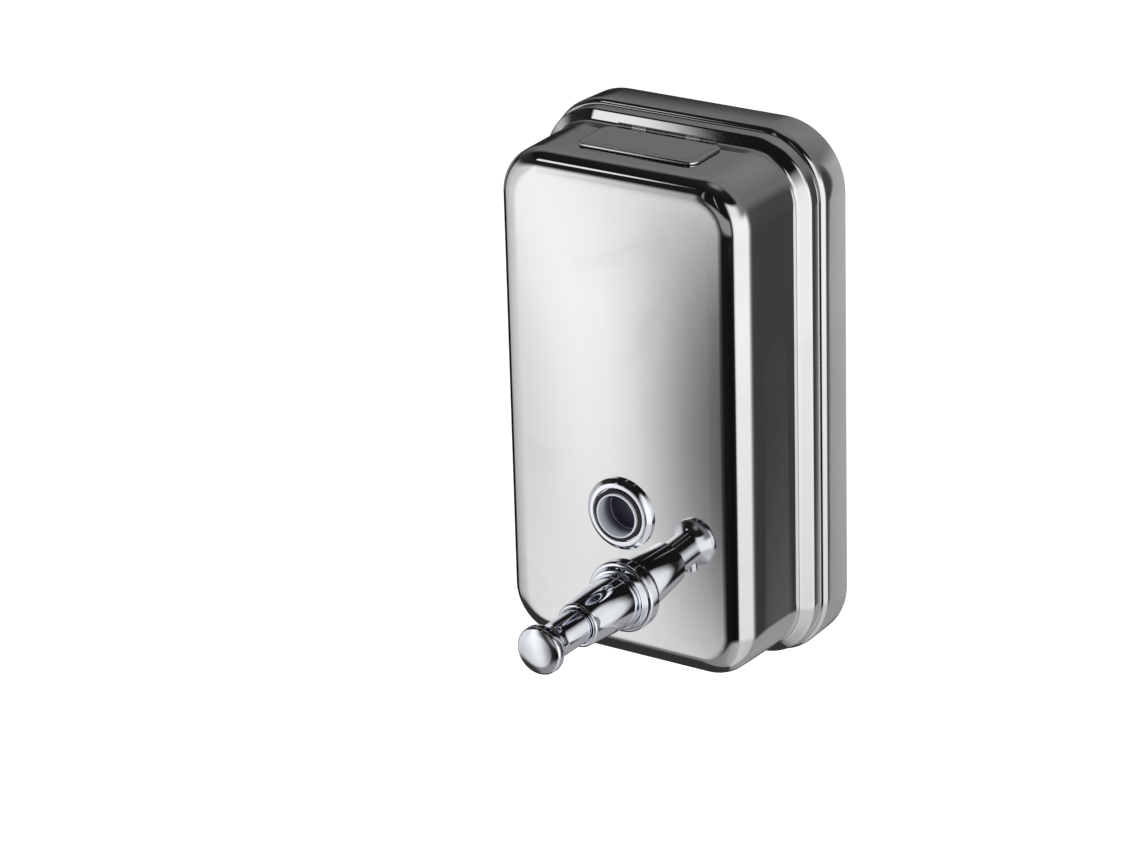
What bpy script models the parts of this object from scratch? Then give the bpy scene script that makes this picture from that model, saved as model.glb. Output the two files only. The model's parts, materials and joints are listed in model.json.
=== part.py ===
"""Wall mounted push-button soap dispenser in polished stainless steel.

All sizes named below are in millimetres and are scaled to metres as each mesh is made.
The origin is on the wall plane, at the middle of the rear frame.
X runs along the wall, -Y out of the wall towards the user, and Z up.
"""

from math import atan2, cos, pi, radians, sin, sqrt

import bmesh
import bpy
from mathutils import Matrix, Vector

MM = 0.001
GAP = 0.3                      # between pieces that touch on the real object
CUT_MARGIN = 2.0               # how far a cutter runs past what it cuts

# Sheet metal
SHEET = 1.0
FRONT_WIDTH, FRONT_HEIGHT, FRONT_CORNER = 101.2, 187.2, 18.5
REAR_WIDTH, REAR_HEIGHT, REAR_CORNER = 102.4, 188.4, 19.0
FACE_Y = -61.0                 # edge of the front face, where its fillet begins
FACE_FILLET = 8.0
FACE_CROWN = 1.2               # rise of the front face from its edge to its middle
CROWN_STEPS = 5
CROWN_REACH = 0.96             # how far in the crown's rings reach, of half the width
CROWN_CORNER = 0.3             # least corner radius of those rings
FILLET_STEPS = 5
CORNER_STEPS = 6

# The shell ends in a sloping step and a skirt that closes over the tank back
STEP_START_Y = -25.5
STEP_TILT = 55                 # degrees the slope leans away from the sides
STEP_FOOT = 1.8                # radius where the sides turn into the slope
STEP_EDGE = 1.5                # radius where the slope turns into the skirt
SKIRT_OUT = 4.1
SKIRT_END_Y = -16.8

# Rear frame
FRAME_FRONT_Y = -16.5
FRAME_OUT = 5.8
FRAME_IN = -6.0
FRAME_FILLET = 2.5
FRAME_LIP_IN = 2.0
FRAME_BACK_FILLET = 0.6

# Tank back, a tray with a raised middle panel
BACK_OUT = SKIRT_OUT - SHEET - GAP
BACK_LIP_Y = -21.2
BACK_REAR_Y = -17.0
PANEL_IN = -12.0
PANEL_RISE = 1.7

# Wall bracket and the rail that hangs on it
BRACKET_WIDTH, BRACKET_LOW, BRACKET_HIGH = 70.0, -20.0, 70.0
BRACKET_SHEET = 1.5
BRACKET_REACH = 6.0
BRACKET_LIP_TOP = 82.2
BRACKET_HOLE_RADIUS = 2.6
BRACKET_HOLES = ((-22.0, 55.0), (22.0, 55.0), (-22.0, -8.0), (22.0, -8.0))
RAIL_WIDTH = 58.0
RAIL_SHEET = 1.2
RAIL_LOW, RAIL_HOOK_LOW = 58.0, 72.0
RAIL_HOOK_Y = -2.0

# Filler opening and lid, laid out on the sloping top
HINGE_Y = -27.0
HINGE_HEIGHT = 1.3
LID_WIDTH, LID_FRONT, LID_REAR, LID_CORNER = 49.0, -22.0, -1.4, 4.0
LID_THICKNESS = 1.0
LID_EDGE = 0.4
NECK_WIDTH, NECK_FRONT, NECK_REAR, NECK_CORNER = 41.4, -20.5, -2.5, 3.0
NECK_WALL = 1.0
NECK_DEPTH = 8.0
NECK_FLANGE = 1.8
SEAL_WIDTH, SEAL_FRONT, SEAL_REAR = 38.4, -18.7, -4.4
SEAL_WALL = 2.0
SEAL_DEPTH = 3.2
SEAL_CORNER, SEAL_INNER_CORNER = 2.6, 1.0
KNUCKLE_RADIUS = 1.0
PIN_RADIUS = 0.5
PIN_BORE = 0.6
LID_KNUCKLES = ((-14.0, -8.0), (8.0, 14.0))
FIXED_KNUCKLES = ((-20.0, -14.3), (-7.7, 7.7), (14.3, 20.0))
LEAF_FRONT, LEAF_REAR, LEAF_THICKNESS = 0.2, 1.9, 0.6
LID_TAB_LAP, LEAF_TAB_STOP = 1.0, 0.1    # tab under the lid, and short of the leaf's rear edge
KNUCKLE_CLEARANCE = 1.25
PIN_HALF_LENGTH = 20.6

# Sight window
WINDOW_Z = -36.0
SEAT_Y = -62.5                 # plane that the window and valve flanges sit on
BEZEL_RADIUS = 13.5
BEZEL_SLEEVE = 10.0
BEZEL_BORE = 8.5
BEZEL_EDGE_Y, BEZEL_FRONT_Y, BEZEL_END_Y = -63.0, -64.4, -52.0
BEZEL_SLOPE = 1.4              # width of the sloping outer edge
RECESS_Y = -63.5               # seat of the ring round the lens
RING_FRONT_Y = -65.1
LENS_RADIUS, LENS_BORE = 8.3, 7.7
LENS_FRONT_Y, LENS_BLIND_Y, LENS_END_Y = -65.6, -56.6, -54.9
LENS_GRIP = 0.05               # between the lens and the ring that holds it
NUT_FRONT_Y, NUT_REAR_Y = -58.0, -54.0
WINDOW_NUT_CORNER, VALVE_NUT_CORNER = 14.6, 13.0
SEAL_FRONT_Y, SEAL_REAR_Y = -59.8, -58.3
SPIGOT_CLEARANCE = 0.3
SMALL_EDGE = 0.3               # chamfers and small roundings on turned pieces

# Valve, on the lower part of the face
VALVE_Z = -68.0
FLANGE_RADIUS = 13.5
COLLAR_RADIUS = 11.75
FLANGE_FRONT_Y = -64.6
FLANGE_EDGE_DEPTH, FLANGE_SLOPE = 0.5, 0.7
COLLAR_FRONT_Y = -67.3
COLLAR_EDGE = 0.6
OUTER_SEAL_DEPTH, OUTER_SEAL_RADIUS = 0.6, 12.7
INNER_SEAL_RADIUS = 12.0
SPIGOT_RADIUS = 7.7
SPIGOT_END_Y = -47.5
SPIGOT_BORE = 5.3
BARREL_REAR_Y, BARREL_FRONT_Y = -67.6, -92.5
BARREL_REAR_RADIUS, BARREL_FRONT_RADIUS = 10.3, 8.3
BARREL_BORE, BARREL_LIP_BORE, BARREL_LIP = 7.4, 6.7, 2.5
BARREL_NOSE = 0.9
BUTTON_REAR_Y = -87.0
BUTTON_SHOULDER_RADIUS, NECK_RADIUS = 7.1, 6.4
FLARE_START_Y, DISC_REAR_Y, DISC_FRONT_Y = -106.0, -113.6, -117.5
DISC_RADIUS = 9.0
DISC_EDGE, DISC_ROUND = 0.5, 1.5
FLARE_POWER, FLARE_STEPS = 2.6, 5    # the flare widens slowly, then quickly
BUTTON_BORE = 2.6
BUTTON_BORE_END_Y = -111.5
OUTLET_Y = -109.6
OUTLET_RADIUS = 1.7
NIPPLE_RADIUS = 2.9
NIPPLE_TOP, NIPPLE_DROP = 4.0, 9.4    # below the valve axis
STEM_RADIUS, STEM_BORE = 2.3, 1.1
STEM_FRONT_Y, STEM_REAR_Y = -91.5, -44.0
BUSH_BORE = 2.5
BUSH_FRONT_Y, BUSH_REAR_Y = -66.9, -50.0
SPRING_RADIUS, SPRING_WIRE, SPRING_TURNS = 5.2, 0.6, 6
SPRING_SEGMENTS = 14

# Pump behind the valve
CYLINDER_RADIUS, CYLINDER_BORE = 7.4, 5.6
CYLINDER_FRONT_Y, CYLINDER_REAR_Y = -47.2, -29.2
PISTON_RADIUS, PISTON_GROOVE = 5.0, 3.2
PISTON_FRONT_Y, PISTON_REAR_Y = -43.7, -40.1
PISTON_LAND = 0.9
HOUSING_FRONT_Y, HOUSING_REAR_Y = -28.9, -21.3
INLET_Y = -25.1
CHAMBER_RADIUS, CHAMBER_TOP, CHAMBER_FLOOR = 3.0, 2.4, -4.9   # from the valve axis
PASSAGE_RADIUS = 3.6           # from the cylinder into the chamber
INLET_RADIUS = 1.8
BALL_RADIUS = 2.5
TUBE_RADIUS, TUBE_BORE = 3.2, 2.0
TUBE_TOP, TUBE_BOTTOM = -75.9, -91.0

# Sides of round pieces: seen from outside, hidden inside, and very small
ROUND, HIDDEN_ROUND, SMALL_ROUND = 48, 32, 20

STEEL = ("polished_steel", (0.80, 0.80, 0.81), 1.0, 0.06)
PLAIN_STEEL = ("plain_steel", (0.62, 0.62, 0.63), 1.0, 0.28)
CHROME = ("chrome", (0.85, 0.86, 0.88), 1.0, 0.04)
RUBBER = ("black_rubber", (0.02, 0.02, 0.02), 0.0, 0.6)
CLEAR = ("clear_plastic", (0.90, 0.93, 0.96), 0.0, 0.05)
NYLON = ("white_nylon", (0.82, 0.82, 0.80), 0.0, 0.4)
SPRING_STEEL = ("spring_steel", (0.55, 0.55, 0.57), 1.0, 0.25)


def clear_scene():
    for old in list(bpy.data.objects):
        bpy.data.objects.remove(old, do_unlink=True)


def make_material(name, finish):
    slot, colour, metallic, roughness = finish
    material = bpy.data.materials.new(f"{name}_{slot}")
    material.use_nodes = True
    shader = material.node_tree.nodes["Principled BSDF"]
    shader.inputs["Base Color"].default_value = (*colour, 1.0)
    shader.inputs["Metallic"].default_value = metallic
    shader.inputs["Roughness"].default_value = roughness
    if finish is CLEAR:
        shader.inputs["Transmission Weight"].default_value = 1.0
    return material


def add_object(name, bm, finish=None, location=(0.0, 0.0, 0.0), sharp_angle=35.0):
    """Turn a bmesh in millimetres into a named object in metres."""
    bmesh.ops.recalc_face_normals(bm, faces=bm.faces[:])
    bmesh.ops.scale(bm, vec=(MM, MM, MM), verts=bm.verts[:])
    mesh = bpy.data.meshes.new(name)
    bm.to_mesh(mesh)
    bm.free()
    mesh.shade_smooth()
    mesh.set_sharp_from_angle(angle=radians(sharp_angle))
    obj = bpy.data.objects.new(name, mesh)
    obj.location = Vector(location) * MM
    bpy.context.scene.collection.objects.link(obj)
    if finish is None:                       # a cutter or a shape to be joined
        obj.hide_render = True
        obj.display_type = "WIRE"
    else:
        mesh.materials.append(make_material(name, finish))
    return obj


def boolean(obj, tool, operation="DIFFERENCE"):
    modifier = obj.modifiers.new(f"{operation.lower()}_{tool.name}", "BOOLEAN")
    modifier.operation = operation
    modifier.solver = "EXACT"
    modifier.object = tool


def rounded_rectangle(width, height, radius, steps=CORNER_STEPS):
    """Corner points of a rounded rectangle, anticlockwise from the right-hand side."""
    points = []
    for quarter in range(4):
        side_x = 1 if quarter in (0, 3) else -1
        side_z = 1 if quarter in (0, 1) else -1
        for step in range(steps + 1):
            angle = (quarter + step / steps) * pi / 2
            points.append((side_x * (width / 2 - radius) + radius * cos(angle),
                           side_z * (height / 2 - radius) + radius * sin(angle)))
    return points


def sheet_ring(width, height, radius, y):
    return [(x, y, z) for x, z in rounded_rectangle(width, height, radius)]


def rear_ring(out, y):
    """Ring that follows the rear of the body, moved outwards by out."""
    return sheet_ring(REAR_WIDTH + 2 * out, REAR_HEIGHT + 2 * out, REAR_CORNER + out, y)


def loft(rings, closed_loop):
    """Skin a run of rings; either join the last to the first or cap both ends."""
    bm = bmesh.new()
    loops = [[bm.verts.new(point) for point in ring] for ring in rings]
    pairs = list(zip(loops, loops[1:]))
    if closed_loop:
        pairs.append((loops[-1], loops[0]))
    else:
        bm.faces.new(loops[0])
        bm.faces.new(loops[-1])
    for first, second in pairs:
        for i in range(len(first)):
            j = (i + 1) % len(first)
            bm.faces.new((first[i], first[j], second[j], second[i]))
    return bm


def turned(name, profile, finish, centre=(0.0, 0.0), steps=ROUND, ends_on_axis=False):
    """Spin a profile of (radius, y) points about a line along Y through centre (x, z)."""
    bm = bmesh.new()
    verts = [bm.verts.new((radius, y, 0.0)) for radius, y in profile]
    pairs = list(zip(verts, verts[1:]))
    if not ends_on_axis:
        pairs.append((verts[-1], verts[0]))
    edges = [bm.edges.new(pair) for pair in pairs]
    bmesh.ops.spin(bm, geom=verts + edges, cent=(0, 0, 0), axis=(0, 1, 0),
                   angle=2 * pi, steps=steps, use_merge=True, use_duplicate=False)
    bmesh.ops.remove_doubles(bm, verts=bm.verts[:], dist=0.001)
    return add_object(name, bm, finish, (centre[0], 0.0, centre[1]))


def tube_profile(outer, inner, front_y, rear_y, edge=0.0):
    """Profile of a plain ring; edge chamfers its outer corners."""
    if edge == 0.0:
        return [(outer, front_y), (outer, rear_y), (inner, rear_y), (inner, front_y)]
    return [(outer - edge, front_y), (outer, front_y + edge), (outer, rear_y - edge),
            (outer - edge, rear_y), (inner, rear_y), (inner, front_y)]


def arc(centre, radius, start, end, steps):
    """Points (a, b) on an arc; angles in degrees, measured from the a axis."""
    angles = [radians(start + (end - start) * i / steps) for i in range(steps + 1)]
    return [(centre[0] + radius * cos(a), centre[1] + radius * sin(a)) for a in angles]


def tool_cylinder(name, radius, start, end, steps=HIDDEN_ROUND, finish=None):
    """Solid cylinder between two points."""
    start, end = Vector(start), Vector(end)
    turn = (end - start).to_track_quat("Z", "Y").to_matrix().to_4x4()
    place = Matrix.Translation((start + end) / 2) @ turn
    bm = bmesh.new()
    bmesh.ops.create_cone(bm, cap_ends=True, segments=steps, radius1=radius,
                          radius2=radius, depth=(end - start).length, matrix=place)
    return add_object(name, bm, finish)


def tool_box(name, low, high):
    low, high = Vector(low), Vector(high)
    bm = bmesh.new()
    place = Matrix.Translation((low + high) / 2) @ Matrix.Diagonal((*(high - low), 1.0))
    bmesh.ops.create_cube(bm, size=1.0, matrix=place)
    return add_object(name, bm)


def flat_rings(width, front, rear, radius, levels):
    """Rounded rectangles lying flat at each height in levels, for the filler's pieces."""
    outline = rounded_rectangle(width, rear - front, radius)
    middle = (front + rear) / 2
    return [[(x, middle + y, z) for x, y in outline] for z in levels]


# ---------------------------------------------------------------- sheet metal

def face_rings(thickness):
    """Crowned front face, its fillet and the drafted sides, thickness inside the outside."""
    rings = []
    inner_width = FRONT_WIDTH - 2 * FACE_FILLET
    inner_height = FRONT_HEIGHT - 2 * FACE_FILLET
    half = inner_width / 2
    for step in range(1, CROWN_STEPS + 1):
        inset = half * CROWN_REACH * (1 - step / (CROWN_STEPS + 1))
        rise = FACE_CROWN * (1 - (1 - inset / half) ** 2)
        corner = max(FRONT_CORNER - FACE_FILLET, 0) * (1 - inset / half) + CROWN_CORNER
        rings.append(sheet_ring(inner_width - 2 * inset, inner_height - 2 * inset, corner,
                                FACE_Y - rise + thickness))
    centre_y = FACE_Y + FACE_FILLET
    for angle in (90 * i / FILLET_STEPS for i in range(FILLET_STEPS + 1)):
        out = (FACE_FILLET - thickness) * sin(radians(angle))
        forward = (FACE_FILLET - thickness) * cos(radians(angle))
        rings.append(sheet_ring(inner_width + 2 * out, inner_height + 2 * out,
                                FRONT_CORNER - FACE_FILLET + out, centre_y - forward))
    return rings


def step_rings(thickness):
    """Foot, slope and skirt at the open end of the shell, thickness inside the outside."""
    tilt = radians(STEP_TILT)
    length = (SKIRT_OUT - (STEP_FOOT + STEP_EDGE) * (1 - cos(tilt))) / sin(tilt)
    edge_y = STEP_START_Y + (STEP_FOOT + STEP_EDGE) * sin(tilt) + length * cos(tilt)
    foot = arc((STEP_FOOT, STEP_START_Y), STEP_FOOT + thickness, 180, 180 - STEP_TILT, 3)
    edge = arc((SKIRT_OUT - STEP_EDGE, edge_y), STEP_EDGE - thickness, -STEP_TILT, 0, 3)
    end = (SKIRT_OUT - thickness, SKIRT_END_Y)
    return [rear_ring(out, y) for out, y in foot + edge + [end]]


def build_front_shell():
    outside = face_rings(0.0) + step_rings(0.0)
    inside = face_rings(SHEET) + step_rings(SHEET)
    shell = add_object("front_shell", loft(outside + inside[::-1], closed_loop=False), STEEL)
    for hole, radius, z in (("window", BEZEL_SLEEVE, WINDOW_Z), ("valve", SPIGOT_RADIUS, VALVE_Z)):
        cutter = tool_cylinder(f"{hole}_hole_cutter", radius + SPIGOT_CLEARANCE,
                               (0, SEAT_Y - CUT_MARGIN, z), (0, NUT_FRONT_Y, z), ROUND)
        boolean(shell, cutter)
    return shell


def cut_filler_hole(shell, filler):
    """Hole in the top for the filler neck, square to the sloping top."""
    bm = loft(flat_rings(NECK_WIDTH + 2 * GAP, NECK_FRONT - GAP, NECK_REAR + GAP,
                         NECK_CORNER + GAP, (-2 * CUT_MARGIN, CUT_MARGIN)), False)
    cutter = add_object("filler_hole_cutter", bm)
    cutter.parent = filler
    boolean(shell, cutter)


def build_rear_frame():
    """Rolled frame: a front flange, rounded outer side and a lip that lies on the wall."""
    inner_fillet = FRAME_FILLET - SHEET
    corner = FRAME_OUT - FRAME_FILLET
    profile = [(FRAME_IN, FRAME_FRONT_Y)]
    profile += arc((corner, FRAME_FRONT_Y + FRAME_FILLET), FRAME_FILLET, -90, 0, 5)
    profile += arc((FRAME_OUT - FRAME_BACK_FILLET, -FRAME_BACK_FILLET), FRAME_BACK_FILLET,
                   0, 90, 2)
    profile += [(FRAME_LIP_IN, 0.0), (FRAME_LIP_IN, -SHEET), (FRAME_OUT - SHEET, -SHEET)]
    profile += arc((corner, FRAME_FRONT_Y + FRAME_FILLET), inner_fillet, 0, -90, 3)
    profile.append((FRAME_IN, FRAME_FRONT_Y + SHEET))
    rings = [rear_ring(out, y) for out, y in profile]
    return add_object("rear_frame", loft(rings, closed_loop=True), STEEL)


def build_tank_back():
    """Tray welded inside the skirt, with a raised panel that carries the hanger rail."""
    rear = [(BACK_OUT, BACK_LIP_Y), (BACK_OUT, BACK_REAR_Y), (PANEL_IN, BACK_REAR_Y),
            (PANEL_IN - PANEL_RISE, BACK_REAR_Y + PANEL_RISE)]
    front = [(BACK_OUT - SHEET, BACK_LIP_Y), (BACK_OUT - SHEET, BACK_REAR_Y - SHEET),
             (PANEL_IN, BACK_REAR_Y - SHEET),
             (PANEL_IN - PANEL_RISE, BACK_REAR_Y + PANEL_RISE - SHEET)]
    rings = [rear_ring(out, y) for out, y in rear[::-1] + front]
    return add_object("tank_back", loft(rings, closed_loop=False), PLAIN_STEEL)


def folded_strip(name, outline, width, finish):
    """Sheet folded to an outline of (y, z) points, extruded along X."""
    bm = bmesh.new()
    face = bm.faces.new([bm.verts.new((-width / 2, y, z)) for y, z in outline])
    moved = bmesh.ops.extrude_face_region(bm, geom=[face])
    verts = [item for item in moved["geom"] if isinstance(item, bmesh.types.BMVert)]
    bmesh.ops.translate(bm, verts=verts, vec=(width, 0, 0))
    return add_object(name, bm, finish)


def build_wall_bracket():
    """Plate that is screwed to the wall, with a lip along its top."""
    t = BRACKET_SHEET
    outline = [(0, BRACKET_LOW), (0, BRACKET_HIGH), (t - BRACKET_REACH, BRACKET_HIGH),
               (t - BRACKET_REACH, BRACKET_LIP_TOP), (-BRACKET_REACH, BRACKET_LIP_TOP),
               (-BRACKET_REACH, BRACKET_HIGH - t), (-t, BRACKET_HIGH - t), (-t, BRACKET_LOW)]
    bracket = folded_strip("wall_bracket", outline, BRACKET_WIDTH, PLAIN_STEEL)
    for number, (x, z) in enumerate(BRACKET_HOLES, 1):
        boolean(bracket, tool_cylinder(f"bracket_hole_cutter_{number}", BRACKET_HOLE_RADIUS,
                                       (x, CUT_MARGIN, z), (x, -t - CUT_MARGIN, z), SMALL_ROUND))
    return bracket


def build_hanger_rail():
    """Strip welded to the tank back that hooks down behind the bracket's lip."""
    t = RAIL_SHEET
    weld_y = BACK_REAR_Y + PANEL_RISE + GAP
    under = BRACKET_LIP_TOP + GAP
    outline = [(weld_y, RAIL_LOW), (weld_y, under + t), (RAIL_HOOK_Y, under + t),
               (RAIL_HOOK_Y, RAIL_HOOK_LOW), (RAIL_HOOK_Y - t, RAIL_HOOK_LOW),
               (RAIL_HOOK_Y - t, under), (weld_y + t, under), (weld_y + t, RAIL_LOW)]
    return folded_strip("hanger_rail", outline, RAIL_WIDTH, PLAIN_STEEL)


# ---------------------------------------------------------------- filler

def top_height(y):
    """Height of the body's top at depth y, which rises towards the wall."""
    run = STEP_START_Y - (FACE_Y + FACE_FILLET)
    rise = (REAR_HEIGHT - FRONT_HEIGHT) / 2
    return FRONT_HEIGHT / 2 + rise * (y - FACE_Y - FACE_FILLET) / run


def make_filler_frame():
    """Empty on the top at the hinge line, turned to the slope of the top."""
    run = STEP_START_Y - (FACE_Y + FACE_FILLET)
    empty = bpy.data.objects.new("filler_frame", None)
    empty.location = Vector((0, HINGE_Y, top_height(HINGE_Y))) * MM
    empty.rotation_euler.x = atan2((REAR_HEIGHT - FRONT_HEIGHT) / 2, run)
    bpy.context.scene.collection.objects.link(empty)
    return empty


def make_lid_hinge(filler):
    """Empty on the pin's axis, which the lid and its seal turn with."""
    empty = bpy.data.objects.new("lid_hinge_axis", None)
    empty.location.z = HINGE_HEIGHT * MM
    empty.parent = filler
    bpy.context.scene.collection.objects.link(empty)
    return empty


def build_filler_neck(filler):
    """Rectangular neck with a flange that bears on the underside of the top."""
    def ring(grow, z):
        return flat_rings(NECK_WIDTH + 2 * grow, NECK_FRONT - grow, NECK_REAR + grow,
                          NECK_CORNER + grow, (z,))[0]
    flange_top = -SHEET - GAP
    rings = [ring(0, 0.0), ring(0, flange_top), ring(NECK_FLANGE, flange_top),
             ring(NECK_FLANGE, flange_top - NECK_WALL), ring(0, flange_top - NECK_WALL),
             ring(0, -NECK_DEPTH), ring(-NECK_WALL, -NECK_DEPTH), ring(-NECK_WALL, 0.0)]
    neck = add_object("filler_neck", loft(rings, closed_loop=True), NYLON)
    neck.parent = filler
    return neck


def knuckle_tools(name, spans, reach):
    """Hinge barrels along X with the flat tabs that join them to their leaf."""
    tools = []
    for number, (left, right) in enumerate(spans, 1):
        tools.append(tool_cylinder(f"{name}_barrel_{number}", KNUCKLE_RADIUS,
                                   (left, 0, 0), (right, 0, 0), SMALL_ROUND))
        low = (left, min(reach, 0.0), -KNUCKLE_RADIUS)
        high = (right, max(reach, 0.0), -KNUCKLE_RADIUS + LEAF_THICKNESS)
        tools.append(tool_box(f"{name}_tab_{number}", low, high))
    return tools


def cut_pin_bore(obj, hinge):
    bore = tool_cylinder(f"{obj.name}_pin_bore", PIN_BORE,
                         (-PIN_HALF_LENGTH - GAP, 0, 0), (PIN_HALF_LENGTH + GAP, 0, 0),
                         SMALL_ROUND)
    bore.parent = hinge
    boolean(obj, bore)


def build_filler_lid(hinge):
    """Flat lid with rounded corners and two knuckles at its rear edge."""
    under = GAP - HINGE_HEIGHT
    top = under + LID_THICKNESS
    def ring(inset, z):
        return flat_rings(LID_WIDTH - 2 * inset, LID_FRONT + inset, LID_REAR - inset,
                          LID_CORNER - inset, (z,))[0]
    rings = [ring(0, under), ring(0, top - LID_EDGE)]
    rings += [ring(LID_EDGE * (1 - cos(radians(a))), top - LID_EDGE * (1 - sin(radians(a))))
              for a in (30, 60, 90)]
    lid = add_object("filler_lid", loft(rings, closed_loop=False), STEEL)
    lid.parent = hinge
    for tool in knuckle_tools("lid", LID_KNUCKLES, LID_REAR - LID_TAB_LAP):
        tool.parent = hinge
        boolean(lid, tool, "UNION")
    cut_pin_bore(lid, hinge)
    return lid


def build_lid_hinge_bracket(hinge):
    """Fixed leaf behind the opening, with three knuckles."""
    left, right = FIXED_KNUCKLES[0][0], FIXED_KNUCKLES[-1][1]
    low = (left, LEAF_FRONT, -KNUCKLE_RADIUS)
    high = (right, LEAF_REAR, -KNUCKLE_RADIUS + LEAF_THICKNESS)
    bm = bmesh.new()
    size = Vector(high) - Vector(low)
    middle = (Vector(high) + Vector(low)) / 2
    bmesh.ops.create_cube(bm, size=1.0,
                          matrix=Matrix.Translation(middle) @ Matrix.Diagonal((*size, 1.0)))
    bracket = add_object("lid_hinge_bracket", bm, PLAIN_STEEL)
    bracket.parent = hinge
    for number, (start, end) in enumerate(LID_KNUCKLES, 1):
        space = tool_cylinder(f"knuckle_space_{number}", KNUCKLE_CLEARANCE,
                              (start - GAP, 0, 0), (end + GAP, 0, 0), SMALL_ROUND)
        space.parent = hinge
        boolean(bracket, space)
    for tool in knuckle_tools("bracket", FIXED_KNUCKLES, LEAF_REAR - LEAF_TAB_STOP):
        tool.parent = hinge
        boolean(bracket, tool, "UNION")
    cut_pin_bore(bracket, hinge)
    return bracket


def build_lid_hinge_pin(hinge):
    pin = tool_cylinder("lid_hinge_pin", PIN_RADIUS, (-PIN_HALF_LENGTH, 0, 0),
                        (PIN_HALF_LENGTH, 0, 0), SMALL_ROUND, SPRING_STEEL)
    pin.parent = hinge
    return pin


def build_lid_seal(hinge):
    """Rubber frame under the lid that plugs the neck."""
    top = -HINGE_HEIGHT
    outer = flat_rings(SEAL_WIDTH, SEAL_FRONT, SEAL_REAR, SEAL_CORNER,
                       (top, top - SEAL_DEPTH))
    inner = flat_rings(SEAL_WIDTH - 2 * SEAL_WALL, SEAL_FRONT + SEAL_WALL,
                       SEAL_REAR - SEAL_WALL, SEAL_INNER_CORNER, (top - SEAL_DEPTH, top))
    seal = add_object("lid_seal", loft(outer + inner, closed_loop=True), RUBBER)
    seal.parent = hinge
    return seal


# ---------------------------------------------------------------- sight window

def build_window():
    """Chromed bezel through the face, a clear blind cup in it, and its inner seal and nut."""
    centre = (0.0, WINDOW_Z)
    bezel = [(BEZEL_RADIUS, SEAT_Y), (BEZEL_RADIUS, BEZEL_EDGE_Y),
             (BEZEL_RADIUS - BEZEL_SLOPE, BEZEL_FRONT_Y),
             (BEZEL_SLEEVE + SMALL_EDGE, BEZEL_FRONT_Y),
             (BEZEL_SLEEVE, BEZEL_FRONT_Y + SMALL_EDGE), (BEZEL_SLEEVE, RECESS_Y),
             (BEZEL_BORE, RECESS_Y), (BEZEL_BORE, BEZEL_END_Y), (BEZEL_SLEEVE, BEZEL_END_Y),
             (BEZEL_SLEEVE, SEAT_Y)]
    turned("window_bezel", bezel, CHROME, centre)
    ring = tube_profile(BEZEL_SLEEVE - GAP, LENS_RADIUS + LENS_GRIP, RING_FRONT_Y,
                        RECESS_Y - GAP, SMALL_EDGE)
    turned("window_seal_ring", ring, RUBBER, centre)
    rim = SMALL_EDGE / 2
    lens = [(0.0, LENS_BLIND_Y), (LENS_BORE, LENS_BLIND_Y), (LENS_BORE, LENS_FRONT_Y + rim),
            (LENS_BORE + rim, LENS_FRONT_Y), (LENS_RADIUS - rim, LENS_FRONT_Y),
            (LENS_RADIUS, LENS_FRONT_Y + rim), (LENS_RADIUS, LENS_END_Y), (0.0, LENS_END_Y)]
    turned("window_lens", lens, CLEAR, centre, ends_on_axis=True)
    gasket = tube_profile(BEZEL_RADIUS, BEZEL_SLEEVE + SPIGOT_CLEARANCE, SEAL_FRONT_Y, SEAL_REAR_Y)
    turned("window_gasket", gasket, RUBBER, centre, HIDDEN_ROUND)
    build_hex_nut("window_nut", WINDOW_NUT_CORNER, BEZEL_SLEEVE + SPIGOT_CLEARANCE, WINDOW_Z)


def build_hex_nut(name, corner_radius, bore, z):
    """Hexagon nut on the inside of the front wall."""
    nut = tool_cylinder(name, corner_radius, (0, NUT_FRONT_Y, z), (0, NUT_REAR_Y, z), 6,
                        CHROME)
    boolean(nut, tool_cylinder(f"{name}_bore", bore, (0, NUT_FRONT_Y - CUT_MARGIN, z),
                               (0, NUT_REAR_Y + CUT_MARGIN, z)))


# ---------------------------------------------------------------- valve and pump

def build_valve_fixings():
    """Flange with its spigot through the face, the seals either side, nut and guide bush."""
    centre = (0.0, VALVE_Z)
    flange_rear = SEAT_Y - OUTER_SEAL_DEPTH - GAP
    flange = [(FLANGE_RADIUS, flange_rear), (FLANGE_RADIUS, flange_rear - FLANGE_EDGE_DEPTH),
              (FLANGE_RADIUS - FLANGE_SLOPE, FLANGE_FRONT_Y), (COLLAR_RADIUS, FLANGE_FRONT_Y),
              (COLLAR_RADIUS, COLLAR_FRONT_Y + COLLAR_EDGE),
              (COLLAR_RADIUS - COLLAR_EDGE, COLLAR_FRONT_Y),
              (SPIGOT_BORE, COLLAR_FRONT_Y), (SPIGOT_BORE, SPIGOT_END_Y),
              (SPIGOT_RADIUS, SPIGOT_END_Y), (SPIGOT_RADIUS, flange_rear)]
    turned("valve_flange", flange, CHROME, centre)
    outer_seal = tube_profile(OUTER_SEAL_RADIUS, SPIGOT_RADIUS + GAP,
                              SEAT_Y - OUTER_SEAL_DEPTH, SEAT_Y)
    turned("valve_seal_outer", outer_seal, RUBBER, centre, HIDDEN_ROUND)
    inner_seal = tube_profile(INNER_SEAL_RADIUS, SPIGOT_RADIUS + GAP, SEAL_FRONT_Y,
                              SEAL_REAR_Y)
    turned("valve_seal_inner", inner_seal, RUBBER, centre, HIDDEN_ROUND)
    build_hex_nut("valve_nut", VALVE_NUT_CORNER, SPIGOT_RADIUS + SPIGOT_CLEARANCE, VALVE_Z)
    bush = tube_profile(SPIGOT_BORE - GAP, BUSH_BORE, BUSH_FRONT_Y, BUSH_REAR_Y)
    turned("guide_bush", bush, NYLON, centre, HIDDEN_ROUND)


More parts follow.
